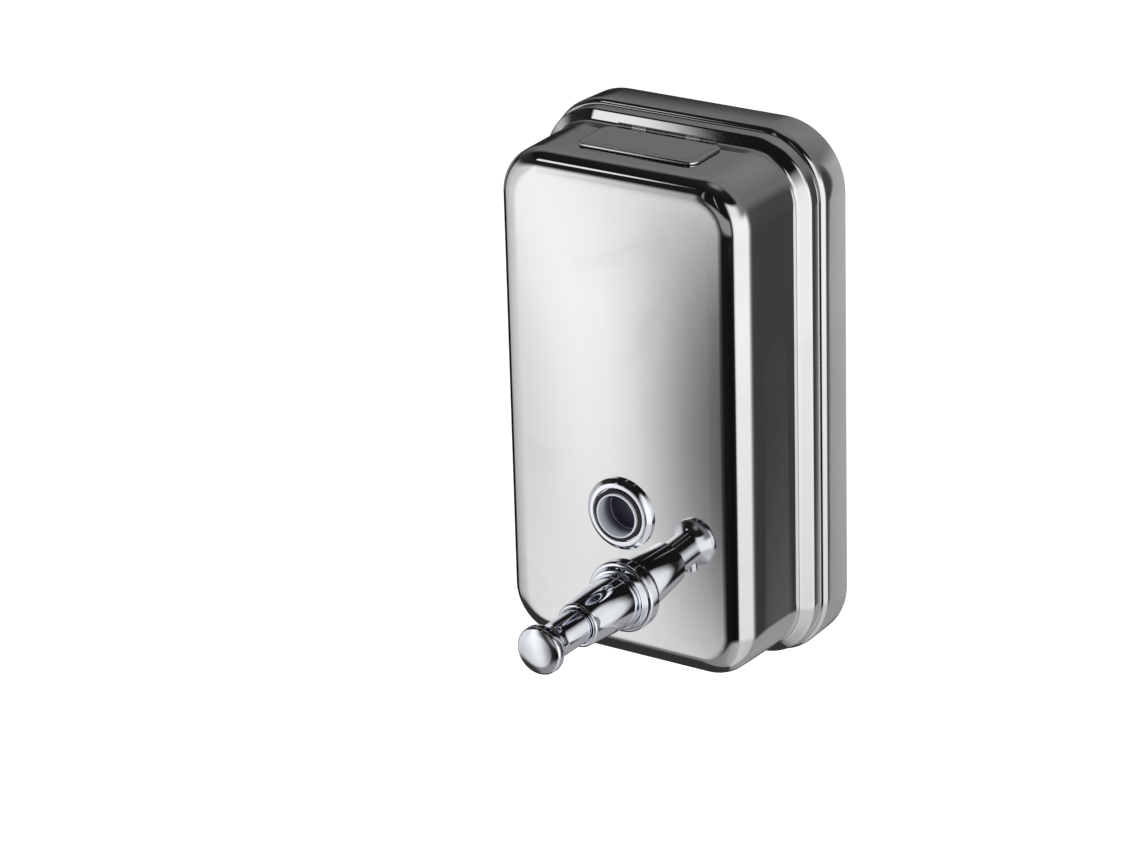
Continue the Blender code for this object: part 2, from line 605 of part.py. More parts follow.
def build_valve_barrel():
    """Tapered barrel with a rounded nose and a lip that stops the button's shoulder."""
    lip_y = BARREL_FRONT_Y + BARREL_LIP
    profile = [(BARREL_BORE, BARREL_REAR_Y), (BARREL_REAR_RADIUS - SMALL_EDGE, BARREL_REAR_Y),
               (BARREL_REAR_RADIUS, BARREL_REAR_Y - SMALL_EDGE)]
    profile += arc((BARREL_FRONT_RADIUS - BARREL_NOSE, BARREL_FRONT_Y + BARREL_NOSE),
                   BARREL_NOSE, 0, -90, 4)
    profile += [(BARREL_LIP_BORE, BARREL_FRONT_Y + SMALL_EDGE), (BARREL_LIP_BORE, lip_y),
                (BARREL_BORE, lip_y)]
    turned("valve_barrel", profile, CHROME, (0.0, VALVE_Z))


def build_push_button():
    """Hollow neck that flares into the thumb disc, with the outlet under the flare."""
    shoulder_y = BARREL_FRONT_Y + BARREL_LIP + GAP
    profile = [(0.0, BUTTON_BORE_END_Y), (BUTTON_BORE, BUTTON_BORE_END_Y),
               (BUTTON_BORE, BUTTON_REAR_Y), (BUTTON_SHOULDER_RADIUS - SMALL_EDGE, BUTTON_REAR_Y),
               (BUTTON_SHOULDER_RADIUS, BUTTON_REAR_Y - SMALL_EDGE),
               (BUTTON_SHOULDER_RADIUS, shoulder_y), (NECK_RADIUS, shoulder_y)]
    spread = DISC_RADIUS - SMALL_EDGE - NECK_RADIUS
    for t in (step / FLARE_STEPS for step in range(FLARE_STEPS + 1)):
        profile.append((NECK_RADIUS + spread * t ** FLARE_POWER,
                        FLARE_START_Y + (DISC_REAR_Y - FLARE_START_Y) * t))
    profile += [(DISC_RADIUS, DISC_REAR_Y - DISC_EDGE),
                (DISC_RADIUS, DISC_FRONT_Y + DISC_ROUND),
                (DISC_RADIUS - DISC_EDGE, DISC_FRONT_Y + DISC_EDGE),
                (DISC_RADIUS - DISC_ROUND, DISC_FRONT_Y), (0.0, DISC_FRONT_Y)]
    button = turned("push_button", profile, CHROME, (0.0, VALVE_Z), ends_on_axis=True)
    nipple = tool_cylinder("outlet_nipple", NIPPLE_RADIUS, (0, OUTLET_Y, VALVE_Z - NIPPLE_TOP),
                           (0, OUTLET_Y, VALVE_Z - NIPPLE_DROP), SMALL_ROUND)
    boolean(button, nipple, "UNION")
    outlet = tool_cylinder("outlet_cutter", OUTLET_RADIUS, (0, OUTLET_Y, VALVE_Z),
                           (0, OUTLET_Y, VALVE_Z - NIPPLE_DROP - CUT_MARGIN), SMALL_ROUND)
    boolean(button, outlet)
    return button


def build_plunger():
    """Hollow stem with the piston and its seal at the pump end."""
    centre = (0.0, VALVE_Z)
    turned("plunger_stem", tube_profile(STEM_RADIUS, STEM_BORE, STEM_FRONT_Y, STEM_REAR_Y),
           SPRING_STEEL, centre, HIDDEN_ROUND)
    groove_front, groove_rear = PISTON_FRONT_Y + PISTON_LAND, PISTON_REAR_Y - PISTON_LAND
    piston = [(PISTON_RADIUS, PISTON_FRONT_Y), (PISTON_RADIUS, groove_front),
              (PISTON_GROOVE, groove_front), (PISTON_GROOVE, groove_rear),
              (PISTON_RADIUS, groove_rear), (PISTON_RADIUS, PISTON_REAR_Y),
              (STEM_BORE, PISTON_REAR_Y), (STEM_BORE, PISTON_FRONT_Y)]
    turned("piston", piston, NYLON, centre, HIDDEN_ROUND)
    seal = tube_profile(CYLINDER_BORE - GAP, PISTON_GROOVE + GAP, groove_front + GAP,
                        groove_rear - GAP)
    turned("piston_seal", seal, RUBBER, centre, HIDDEN_ROUND)


def build_return_spring():
    """Coil spring in the barrel, between the flange and the button."""
    start, end = COLLAR_FRONT_Y - GAP - SPRING_WIRE, BUTTON_REAR_Y + GAP + SPRING_WIRE
    count = SPRING_TURNS * SPRING_SEGMENTS
    curve = bpy.data.curves.new("return_spring", "CURVE")
    curve.dimensions = "3D"
    curve.bevel_depth = SPRING_WIRE * MM
    curve.bevel_resolution = 1
    curve.use_fill_caps = True
    spline = curve.splines.new("POLY")
    spline.points.add(count)
    for i, point in enumerate(spline.points):
        angle = 2 * pi * i / SPRING_SEGMENTS
        place = Vector((SPRING_RADIUS * cos(angle), start + (end - start) * i / count,
                        SPRING_RADIUS * sin(angle))) * MM
        point.co = (*place, 1.0)
    spring = bpy.data.objects.new("return_spring", curve)
    spring.location.z = VALVE_Z * MM
    bpy.context.scene.collection.objects.link(spring)
    curve.materials.append(make_material("return_spring", SPRING_STEEL))


def build_pump():
    """Pump cylinder, inlet housing with its ball, and the pickup tube."""
    centre = (0.0, VALVE_Z)
    turned("pump_cylinder", tube_profile(CYLINDER_RADIUS, CYLINDER_BORE, CYLINDER_FRONT_Y,
                                         CYLINDER_REAR_Y), NYLON, centre, HIDDEN_ROUND)
    housing = tool_cylinder("inlet_housing", CYLINDER_RADIUS, (0, HOUSING_FRONT_Y, VALVE_Z),
                            (0, HOUSING_REAR_Y, VALVE_Z), HIDDEN_ROUND, NYLON)
    boolean(housing, tool_cylinder("passage_cutter", PASSAGE_RADIUS,
                                   (0, HOUSING_FRONT_Y - CUT_MARGIN, VALVE_Z),
                                   (0, INLET_Y, VALVE_Z)))
    floor = VALVE_Z + CHAMBER_FLOOR
    boolean(housing, tool_cylinder("chamber_cutter", CHAMBER_RADIUS,
                                   (0, INLET_Y, VALVE_Z + CHAMBER_TOP), (0, INLET_Y, floor)))
    boolean(housing, tool_cylinder("inlet_cutter", INLET_RADIUS, (0, INLET_Y, VALVE_Z),
                                   (0, INLET_Y, floor - 2 * CUT_MARGIN)))
    seat_height = sqrt(BALL_RADIUS ** 2 - INLET_RADIUS ** 2)
    bm = bmesh.new()
    bmesh.ops.create_icosphere(bm, subdivisions=3, radius=BALL_RADIUS)
    add_object("inlet_ball", bm, SPRING_STEEL, (0, INLET_Y, floor + seat_height + GAP))
    tube = tool_cylinder("pickup_tube", TUBE_RADIUS, (0, INLET_Y, TUBE_TOP),
                         (0, INLET_Y, TUBE_BOTTOM), SMALL_ROUND, NYLON)
    boolean(tube, tool_cylinder("tube_bore_cutter", TUBE_BORE, (0, INLET_Y, TUBE_TOP + CUT_MARGIN),
                                (0, INLET_Y, TUBE_BOTTOM - CUT_MARGIN), SMALL_ROUND))


def main():
    clear_scene()
    shell = build_front_shell()
    filler = make_filler_frame()
    hinge = make_lid_hinge(filler)
    cut_filler_hole(shell, filler)
    build_rear_frame()
    build_tank_back()
    build_wall_bracket()
    build_hanger_rail()
    build_filler_neck(filler)
    build_filler_lid(hinge)
    build_lid_seal(hinge)
    build_lid_hinge_bracket(hinge)
    build_lid_hinge_pin(hinge)
    build_window()
    build_valve_fixings()
    build_valve_barrel()
    build_push_button()
    build_plunger()
    build_return_spring()
    build_pump()


main()
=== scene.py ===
import json
from math import atan2, cos, pi, radians, sin

import bmesh
import bpy
from mathutils import Matrix, Vector


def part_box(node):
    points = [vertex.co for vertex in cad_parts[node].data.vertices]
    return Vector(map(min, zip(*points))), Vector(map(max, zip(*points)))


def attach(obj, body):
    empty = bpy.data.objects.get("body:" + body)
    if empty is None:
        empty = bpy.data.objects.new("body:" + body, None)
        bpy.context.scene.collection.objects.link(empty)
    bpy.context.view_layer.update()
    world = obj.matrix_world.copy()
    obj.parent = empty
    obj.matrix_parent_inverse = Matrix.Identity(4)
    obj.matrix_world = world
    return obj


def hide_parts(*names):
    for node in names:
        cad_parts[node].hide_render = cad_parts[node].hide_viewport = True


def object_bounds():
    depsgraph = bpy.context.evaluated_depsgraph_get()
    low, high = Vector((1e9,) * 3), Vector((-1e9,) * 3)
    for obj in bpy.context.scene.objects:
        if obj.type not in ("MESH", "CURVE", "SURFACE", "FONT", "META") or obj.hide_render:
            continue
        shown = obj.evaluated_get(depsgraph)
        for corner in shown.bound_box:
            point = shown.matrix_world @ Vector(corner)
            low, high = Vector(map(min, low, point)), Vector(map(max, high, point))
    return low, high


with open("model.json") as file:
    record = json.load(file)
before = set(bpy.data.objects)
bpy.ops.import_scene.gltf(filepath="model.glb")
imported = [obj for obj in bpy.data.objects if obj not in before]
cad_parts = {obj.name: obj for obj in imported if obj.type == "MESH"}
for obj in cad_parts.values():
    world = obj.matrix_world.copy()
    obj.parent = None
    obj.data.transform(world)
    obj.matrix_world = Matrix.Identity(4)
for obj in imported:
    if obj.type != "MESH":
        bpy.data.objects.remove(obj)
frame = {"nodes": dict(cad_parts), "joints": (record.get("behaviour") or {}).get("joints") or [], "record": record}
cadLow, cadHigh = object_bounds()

mm = 0.001
nodes = frame["nodes"]
root = "dispenser"
lidHinge = Vector(next(j["pos_m"] for j in frame["joints"] if j["name"] == "lid_hinge"))
windowLow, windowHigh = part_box("window_bezel")
valveLow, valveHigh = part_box("valve_barrel")
windowZ = (windowLow.z + windowHigh.z) / 2
valveZ = (valveLow.z + valveHigh.z) / 2
print("frame loaded")


def deselectAll():
    if bpy.context.object and bpy.context.object.mode != "OBJECT":
        bpy.ops.object.mode_set(mode="OBJECT")
    bpy.ops.object.select_all(action="DESELECT")


def beginEdit(piece, mode="FACE"):
    deselectAll()
    piece.select_set(True)
    bpy.context.view_layer.objects.active = piece
    bpy.ops.object.mode_set(mode="EDIT")
    bpy.ops.mesh.select_mode(type=mode)


def endEdit():
    bpy.ops.object.mode_set(mode="OBJECT")


def selectFaces(piece, rule):
    bpy.ops.mesh.select_all(action="DESELECT")
    shape = bmesh.from_edit_mesh(piece.data)
    shape.normal_update()
    for face in shape.faces:
        face.select_set(rule(face.calc_center_median(), face.normal))
    bmesh.update_edit_mesh(piece.data)


def selectEdges(piece, rule):
    bpy.ops.mesh.select_all(action="DESELECT")
    shape = bmesh.from_edit_mesh(piece.data)
    for edge in shape.edges:
        if rule(edge.verts[0].co, edge.verts[1].co):
            edge.select_set(True)
    bmesh.update_edit_mesh(piece.data)


def applyModifier(piece, kind, **settings):
    deselectAll()
    piece.select_set(True)
    bpy.context.view_layer.objects.active = piece
    modifier = piece.modifiers.new(kind.lower(), kind)
    for key, value in settings.items():
        setattr(modifier, key, value)
    bpy.ops.object.modifier_apply(modifier=modifier.name)


def cutWith(piece, tool, operation="DIFFERENCE"):
    applyModifier(piece, "BOOLEAN", object=tool, operation=operation, solver="EXACT")
    bpy.data.objects.remove(tool)


def settle(piece, angle=35):
    # place into the mesh, tidy normals and shading
    deselectAll()
    piece.select_set(True)
    bpy.context.view_layer.objects.active = piece
    bpy.ops.object.transform_apply(location=True, rotation=True, scale=True)
    bpy.ops.object.shade_smooth_by_angle(angle=radians(angle))
    for modifier in list(piece.modifiers):
        bpy.ops.object.modifier_apply(modifier=modifier.name)


def finishPiece(piece, body, material, slotName, *replaced, angle=35):
    beginEdit(piece, "VERT")
    bpy.ops.mesh.select_all(action="SELECT")
    bpy.ops.mesh.remove_doubles(threshold=0.000002)
    bpy.ops.mesh.dissolve_degenerate(threshold=0.000002)
    bpy.ops.mesh.normals_make_consistent(inside=False)
    endEdit()
    settle(piece, angle)
    piece.data.materials.clear()
    piece.data.materials.append(material)
    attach(piece, body)
    if replaced:
        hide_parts(*replaced)
    print("made", piece.name, len(piece.data.polygons), "faces")
    return piece


def joinInto(piece, *others):
    deselectAll()
    for other in others:
        other.select_set(True)
    piece.select_set(True)
    bpy.context.view_layer.objects.active = piece
    bpy.ops.object.join()


def roundedPlate(name, width, height, corner, place, turn=(pi / 2, 0, 0), segments=20):
    # flat sheet blank with rounded corners; it faces -Y unless turned otherwise
    deselectAll()
    bpy.ops.mesh.primitive_plane_add(size=1, location=place, rotation=turn)
    blank = bpy.context.object
    blank.name = name
    blank.scale = (width, height, 1)
    bpy.ops.object.transform_apply(location=True, rotation=True, scale=True)
    beginEdit(blank, "VERT")
    bpy.ops.mesh.select_all(action="SELECT")
    bpy.ops.mesh.bevel(offset=corner, segments=segments, affect="VERTICES", profile=0.5)
    bpy.ops.mesh.select_mode(type="FACE")
    bpy.ops.mesh.select_all(action="SELECT")
    return blank


def press(steps):
    # push the selected face in by inset and along its normal, one step at a time
    for inset, forward in steps:
        bpy.ops.mesh.inset(thickness=max(inset, 0.0000001), depth=forward,
                           use_even_offset=True, use_boundary=True)


def roundOver(radius, count):
    # from a side wall over a convex edge onto a face
    angles = [pi / 2 * i / count for i in range(count + 1)]
    return [(radius * (cos(a) - cos(b)), radius * (sin(b) - sin(a)))
            for a, b in zip(angles, angles[1:])]


def leanStep(edgeRadius, coveRadius, out, tilt, count):
    # soft step: convex edge, sloping flat, then a concave foot
    edge = [radians(tilt) * i / count for i in range(count + 1)]
    slope = (out - (edgeRadius + coveRadius) * (1 - cos(edge[-1]))) / sin(edge[-1])
    steps = [(edgeRadius * (cos(a) - cos(b)), edgeRadius * (sin(b) - sin(a)))
             for a, b in zip(edge, edge[1:])]
    steps.append((slope * sin(edge[-1]), slope * cos(edge[-1])))
    foot = edge[::-1]
    return steps + [(coveRadius * (cos(b) - cos(a)), coveRadius * (sin(a) - sin(b)))
                    for a, b in zip(foot, foot[1:])]


def arcPoints(radius, centreRadius, centreY, start, end, count):
    angles = [radians(start + (end - start) * i / count) for i in range(count + 1)]
    return [(centreRadius + radius * cos(a), centreY + radius * sin(a)) for a in angles]


def turnedPiece(name, z, profile, segments=96, hollow=True):
    # a ring of vertices is drawn along Y through the profile's (radius, y) points
    deselectAll()
    radius, y = profile[0]
    bpy.ops.mesh.primitive_circle_add(vertices=segments, radius=radius, location=(0, y, z),
                                      rotation=(pi / 2, 0, 0),
                                      fill_type="NOTHING" if hollow else "NGON")
    piece = bpy.context.object
    piece.name = name
    bpy.ops.object.transform_apply(location=True, rotation=True, scale=True)
    beginEdit(piece, "EDGE" if hollow else "FACE")
    bpy.ops.mesh.select_all(action="SELECT")
    for newRadius, newY in profile[1:]:
        bpy.ops.mesh.extrude_region_move(
            TRANSFORM_OT_translate={"value": (0, newY - y, 0)})
        ratio = newRadius / radius
        bpy.ops.transform.resize(value=(ratio, 1, ratio), center_override=(0, newY, z))
        radius, y = newRadius, newY
    if hollow:
        bpy.ops.mesh.select_all(action="DESELECT")
        bpy.ops.mesh.select_mode(type="EDGE")
        bpy.ops.mesh.select_non_manifold(extend=False, use_wire=False, use_boundary=True,
                                         use_multi_face=False, use_non_contiguous=False,
                                         use_verts=False)
        bpy.ops.mesh.bridge_edge_loops()
    bpy.ops.mesh.select_all(action="SELECT")
    bpy.ops.mesh.normals_make_consistent(inside=False)
    endEdit()
    return piece


def drill(piece, radius, start, end, segments=64, operation="DIFFERENCE"):
    start, end = Vector(start), Vector(end)
    deselectAll()
    bpy.ops.mesh.primitive_cylinder_add(
        vertices=segments, radius=radius, depth=(end - start).length,
        location=(start + end) / 2, rotation=(end - start).to_track_quat("Z", "Y").to_euler())
    cutWith(piece, bpy.context.object, operation)


def addNode(tree, kind, at=(0, 0), **settings):
    node = tree.nodes.new(kind)
    node.location = at
    for key, value in settings.items():
        if key in node.inputs:
            node.inputs[key].default_value = value
        else:
            setattr(node, key, value)
    return node


def mathNode(tree, operation, first, second=None, clamp=False):
    node = tree.nodes.new("ShaderNodeMath")
    node.operation = operation
    node.use_clamp = clamp
    for socket, value in zip(node.inputs, (first, second)):
        if value is None:
            continue
        if isinstance(value, (int, float)):
            socket.default_value = value
        else:
            tree.links.new(value, socket)
    return node.outputs[0]


def remap(tree, value, fromLow, fromHigh, toLow, toHigh, smooth=False):
    node = tree.nodes.new("ShaderNodeMapRange")
    if smooth:
        node.interpolation_type = "SMOOTHSTEP"
    for key, number in (("From Min", fromLow), ("From Max", fromHigh),
                        ("To Min", toLow), ("To Max", toHigh)):
        node.inputs[key].default_value = number
    tree.links.new(value, node.inputs["Value"])
    return node.outputs["Result"]


def rampNode(tree, value, stops):
    node = tree.nodes.new("ShaderNodeValToRGB")
    elements = node.color_ramp.elements
    while len(elements) > 1:
        elements.remove(elements[-1])
    for index, (place, colour) in enumerate(stops):
        element = elements[0] if index == 0 else elements.new(place)
        element.position = place
        if isinstance(colour, (int, float)):
            colour = (colour, colour, colour)
        element.color = (*colour, 1)
    tree.links.new(value, node.inputs["Fac"])
    return node.outputs["Color"]


def mixColours(tree, factor, first, second, blend="MIX"):
    node = addNode(tree, "ShaderNodeMix", data_type="RGBA", blend_type=blend)
    for index, value in ((0, factor), (6, first), (7, second)):
        if isinstance(value, (int, float, tuple)):
            node.inputs[index].default_value = value
        else:
            tree.links.new(value, node.inputs[index])
    return node.outputs[2]


def newGroup(name, inputs, outputs):
    group = bpy.data.node_groups.new(name, "ShaderNodeTree")
    for socketName, kind, value in inputs:
        socket = group.interface.new_socket(socketName, in_out="INPUT", socket_type=kind)
        if value is not None:
            socket.default_value = value
    for socketName, kind in outputs:
        group.interface.new_socket(socketName, in_out="OUTPUT", socket_type=kind)
    return group, group.nodes.new("NodeGroupInput"), group.nodes.new("NodeGroupOutput")


def placeGroup(tree, group, **values):
    node = tree.nodes.new("ShaderNodeGroup")
    node.node_tree = group
    for key, value in values.items():
        socket = node.inputs[key]
        if isinstance(value, (int, float)):
            socket.default_value = value
        else:
            tree.links.new(value, socket)
    return node


number, vector = "NodeSocketFloat", "NodeSocketVector"


def makeHairlineGroup():
    # fine polishing lines that run along one axis of the vector
    group, source, result = newGroup("hairlines", (("Vector", vector, None),
                                     ("Density", number, 900.0), ("Stretch", number, 30.0)),
                                     (("Height", number),))
    split = group.nodes.new("ShaderNodeSeparateXYZ")
    group.links.new(source.outputs["Vector"], split.inputs[0])
    join = group.nodes.new("ShaderNodeCombineXYZ")
    group.links.new(split.outputs["X"], join.inputs["X"])
    group.links.new(split.outputs["Y"], join.inputs["Y"])
    long = mathNode(group, "DIVIDE", split.outputs["Z"], source.outputs["Stretch"])
    group.links.new(long, join.inputs["Z"])
    noise = addNode(group, "ShaderNodeTexNoise", Detail=3.0, Roughness=0.6)
    group.links.new(join.outputs[0], noise.inputs["Vector"])
    group.links.new(source.outputs["Density"], noise.inputs["Scale"])
    group.links.new(noise.outputs["Fac"], result.inputs["Height"])
    return group


def makeSmudgeGroup():
    # soft hand marks and dried drops, 0 clean to 1 marked
    group, source, result = newGroup("smudges", (("Vector", vector, None),
                                     ("Size", number, 28.0), ("Drops", number, 220.0)),
                                     (("Mask", number),))
    cloud = addNode(group, "ShaderNodeTexNoise", Detail=4.0, Roughness=0.55, Distortion=0.8)
    group.links.new(source.outputs["Vector"], cloud.inputs["Vector"])
    group.links.new(source.outputs["Size"], cloud.inputs["Scale"])
    soft = remap(group, cloud.outputs["Fac"], 0.52, 0.78, 0.0, 1.0, True)
    drops = addNode(group, "ShaderNodeTexVoronoi", Randomness=1.0)
    group.links.new(source.outputs["Vector"], drops.inputs["Vector"])
    group.links.new(source.outputs["Drops"], drops.inputs["Scale"])
    rings = remap(group, drops.outputs["Distance"], 0.16, 0.10, 0.0, 0.5, True)
    sparse = remap(group, cloud.outputs["Fac"], 0.60, 0.66, 0.0, 1.0, True)
    both = mathNode(group, "MULTIPLY", rings, sparse)
    group.links.new(mathNode(group, "MAXIMUM", soft, both), result.inputs["Mask"])
    return group


def makeSheetWaveGroup():
    # long shallow waves that pressing leaves in thin sheet
    group, source, result = newGroup("sheetWaves", (("Vector", vector, None),
                                     ("Size", number, 22.0)), (("Height", number),))
    wide = addNode(group, "ShaderNodeTexNoise", Detail=0.0)
    fine = addNode(group, "ShaderNodeTexNoise", Detail=1.0)
    group.links.new(source.outputs["Vector"], wide.inputs["Vector"])
    group.links.new(source.outputs["Vector"], fine.inputs["Vector"])
    group.links.new(source.outputs["Size"], wide.inputs["Scale"])
    group.links.new(mathNode(group, "MULTIPLY", source.outputs["Size"], 4.5),
                    fine.inputs["Scale"])
    small = mathNode(group, "MULTIPLY", fine.outputs["Fac"], 0.10)
    group.links.new(mathNode(group, "ADD", wide.outputs["Fac"], small),
                    result.inputs["Height"])
    return group


def makeGrainGroup():
    # fine even texture of moulded rubber and plastic
    group, source, result = newGroup("mouldGrain", (("Vector", vector, None),
                                     ("Scale", number, 2600.0)),
                                     (("Height", number), ("Cloud", number)))
    grain = addNode(group, "ShaderNodeTexVoronoi", Randomness=1.0)
    cloud = addNode(group, "ShaderNodeTexNoise", Scale=60.0, Detail=3.0)
    group.links.new(source.outputs["Vector"], grain.inputs["Vector"])
    group.links.new(source.outputs["Vector"], cloud.inputs["Vector"])
    group.links.new(source.outputs["Scale"], grain.inputs["Scale"])
    group.links.new(grain.outputs["Distance"], result.inputs["Height"])
    group.links.new(cloud.outputs["Fac"], result.inputs["Cloud"])
    return group


hairlines = makeHairlineGroup()
smudges = makeSmudgeGroup()
sheetWaves = makeSheetWaveGroup()
mouldGrain = makeGrainGroup()
scratchHeight = 0.01 * mm
grainHeight = 0.05 * mm


def newMaterial(name):
    material = bpy.data.materials.new(name)
    material.use_nodes = True
    tree = material.node_tree
    coords = addNode(tree, "ShaderNodeTexCoord", (-1400, 0)).outputs["Object"]
    return material, tree, tree.nodes["Principled BSDF"], coords


def turnedCoords(tree, coords, turn):
    node = addNode(tree, "ShaderNodeMapping", (-1200, 0))
    node.inputs["Rotation"].default_value = turn
    tree.links.new(coords, node.inputs["Vector"])
    return node.outputs["Vector"]


def addBump(tree, shader, height, strength, distance, below=None):
    bump = addNode(tree, "ShaderNodeBump", Strength=strength, Distance=distance)
    tree.links.new(height, bump.inputs["Height"])
    if below is not None:
        tree.links.new(below, bump.inputs["Normal"])
    tree.links.new(bump.outputs["Normal"], shader.inputs["Normal"])
    return bump.outputs["Normal"]


def makePolishedSteel(name, look, turn=(0, 0, 0)):
    material, tree, shader, coords = newMaterial(name)
    shader.inputs["Metallic"].default_value = 1.0
    marks = placeGroup(tree, smudges, Vector=coords, Size=look["smudgeSize"])
    lines = placeGroup(tree, hairlines, Vector=turnedCoords(tree, coords, turn),
                       Density=look["lineDensity"])
    waves = placeGroup(tree, sheetWaves, Vector=coords, Size=look["waveSize"])
    tree.links.new(rampNode(tree, marks.outputs["Mask"],
                            ((0.0, look["clean"]), (1.0, look["marked"]))),
                   shader.inputs["Base Color"])
    rough = remap(tree, marks.outputs["Mask"], 0.0, 1.0, look["gloss"], look["dull"])
    grain = remap(tree, lines.outputs["Height"], 0.35, 0.7, -look["lineRough"],
                  look["lineRough"])
    tree.links.new(mathNode(tree, "ADD", rough, grain, True), shader.inputs["Roughness"])
    wave = addBump(tree, shader, waves.outputs["Height"], 1.0, look["waveDepth"])
    addBump(tree, shader, lines.outputs["Height"], look["lineDepth"], scratchHeight, wave)
    return material


def makePlastic(name, look):
    material, tree, shader, coords = newMaterial(name)
    grain = placeGroup(tree, mouldGrain, Vector=coords, Scale=look["grainScale"])
    cloud = grain.outputs["Cloud"]
    tree.links.new(rampNode(tree, cloud, ((0.3, look["dark"]), (0.7, look["light"]))),
                   shader.inputs["Base Color"])
    tree.links.new(remap(tree, cloud, 0.3, 0.7, look["gloss"], look["dull"]),
                   shader.inputs["Roughness"])
    addBump(tree, shader, grain.outputs["Height"], look["grainDepth"], grainHeight)
    return material


def makeClearPlastic(name, look):
    # painted highlight at the rim, fading through a painted reflection into painted shade towards the blind end,
    # with a thin painted highlight ring where the wall ends
    material, tree, shader, coords = newMaterial(name)
    split = tree.nodes.new("ShaderNodeSeparateXYZ")
    tree.links.new(coords, split.inputs[0])
    shader.inputs["Transmission Weight"].default_value = look["clear"]
    shader.inputs["IOR"].default_value = look["ior"]
    marks = placeGroup(tree, smudges, Vector=coords, Size=look["smudgeSize"],
                       Drops=look["dropSize"])
    lines = placeGroup(tree, hairlines, Vector=coords, Density=look["lineDensity"])
    stained = rampNode(tree, marks.outputs["Mask"],
                       ((0.0, look["clean"]), (1.0, look["marked"])))
    # painted light by depth along the bore: white at the rim, painted shade deeper in, a thin painted highlight
    # ring, then dark at the blind end
    depth = remap(tree, split.outputs["Y"], look["rimY"], look["wallEnd"], 0.0, 1.0)
    shade = rampNode(tree, depth, look["paintedShadeAndHighlight"])
    tree.links.new(mixColours(tree, 1.0, stained, shade, "MULTIPLY"),
                   shader.inputs["Base Color"])
    tree.links.new(remap(tree, marks.outputs["Mask"], 0.0, 1.0, look["gloss"], look["dull"]),
                   shader.inputs["Roughness"])
    addBump(tree, shader, lines.outputs["Height"], look["lineDepth"], scratchHeight)
    return material


bodyLook = {"clean": (0.80, 0.80, 0.80), "marked": (0.74, 0.745, 0.75), "smudgeSize": 26.0,
            "gloss": 0.035, "dull": 0.075, "lineDensity": 1400.0, "lineRough": 0.012,
            "lineDepth": 0.10, "waveSize": 20.0, "waveDepth": 0.00006}
frameLook = dict(bodyLook, clean=(0.78, 0.78, 0.775), gloss=0.045, waveSize=34.0,
                 waveDepth=0.00007, lineDensity=1800.0)
lidLook = dict(bodyLook, gloss=0.05, waveSize=60.0, waveDepth=0.00002)
plainLook = {"clean": (0.60, 0.60, 0.60), "marked": (0.50, 0.495, 0.48), "smudgeSize": 34.0,
             "gloss": 0.26, "dull": 0.40, "lineDensity": 2600.0, "lineRough": 0.08,
             "lineDepth": 0.5, "waveSize": 30.0, "waveDepth": 0.00008}
chromeLook = {"clean": (0.88, 0.91, 0.96), "marked": (0.82, 0.85, 0.90), "smudgeSize": 120.0,
              "gloss": 0.02, "dull": 0.055, "lineDensity": 3000.0, "lineRough": 0.006,
              "lineDepth": 0.01, "waveSize": 160.0, "waveDepth": 0.000003}
wireLook = dict(plainLook, clean=(0.55, 0.55, 0.57), gloss=0.2, dull=0.3, waveDepth=0.000004)
rubberLook = {"dark": (0.012, 0.012, 0.012), "light": (0.035, 0.034, 0.033), "gloss": 0.5,
              "dull": 0.72, "grainScale": 3200.0, "grainDepth": 0.35}
nylonLook = {"dark": (0.74, 0.73, 0.69), "light": (0.84, 0.84, 0.81), "gloss": 0.34,
             "dull": 0.5, "grainScale": 2400.0, "grainDepth": 0.2}
# the lens's depth ramp is painted light and shade, not the plastic's own colour: a bright rim, painted shade
# deeper in and a thin painted highlight ring at the wall's end
lensLook = {"clean": (0.90, 0.93, 1.0), "marked": (0.82, 0.86, 0.93), "ior": 1.49,
            "gloss": 0.03, "dull": 0.16, "smudgeSize": 90.0, "dropSize": 500.0,
            "lineDensity": 1500.0, "lineDepth": 0.05, "clear": 0.25,
            "rimY": -65.4 * mm, "wallEnd": -56.9 * mm,
            "paintedShadeAndHighlight": ((0.0, 1.0), (0.35, (0.66, 0.67, 0.72)),
                           (0.62, (0.20, 0.20, 0.26)), (0.93, (0.05, 0.05, 0.08)),
                           (0.96, (0.95, 0.95, 1.0)), (1.0, (0.05, 0.05, 0.07)))}

acrossTurn = (0, pi / 2, 0)
bodySteel = makePolishedSteel("bodySteel", bodyLook)
frameSteel = makePolishedSteel("frameSteel", frameLook)
lidSteel = makePolishedSteel("lidSteel", lidLook, acrossTurn)
plainSteel = makePolishedSteel("plainSteel", plainLook)
chromePlate = makePolishedSteel("chromePlate", chromeLook, (pi / 2, 0, 0))
drawnWire = makePolishedSteel("drawnWire", wireLook)
blackRubber = makePlastic("blackRubber", rubberLook)
whiteNylon = makePlastic("whiteNylon", nylonLook)
clearPlastic = makeClearPlastic("clearPlastic", lensLook)
print("materials ready")


# drawn body with its crowned face, drafted sides, sloping step and skirt
bodyPlan = {"skirtOut": 4.1 * mm, "cornerRear": 19.0 * mm, "stepEdge": 1.5 * mm,
            "cove": 1.8 * mm, "tilt": 55, "wallY": -25.5 * mm, "draft": 0.6 * mm,
            "faceY": -61.0 * mm, "faceFillet": 8.0 * mm, "crown": 1.2 * mm,
            "crownFrom": -51.0 * mm, "crownCell": 6.0 * mm, "sheet": 1.0 * mm,
            "faceRing": 1.4 * mm, "faceMargin": 12.0 * mm, "windowHole": 10.3 * mm,
            "valveHole": 8.0 * mm, "drillFrom": -70.0 * mm, "drillTo": -50.0 * mm,
            "neckFlange": 1.8 * mm, "neckGap": 0.3 * mm, "neckCorner": 3.3 * mm,
            "neckCutLow": 90.0 * mm, "neckCutTall": 12.0 * mm}


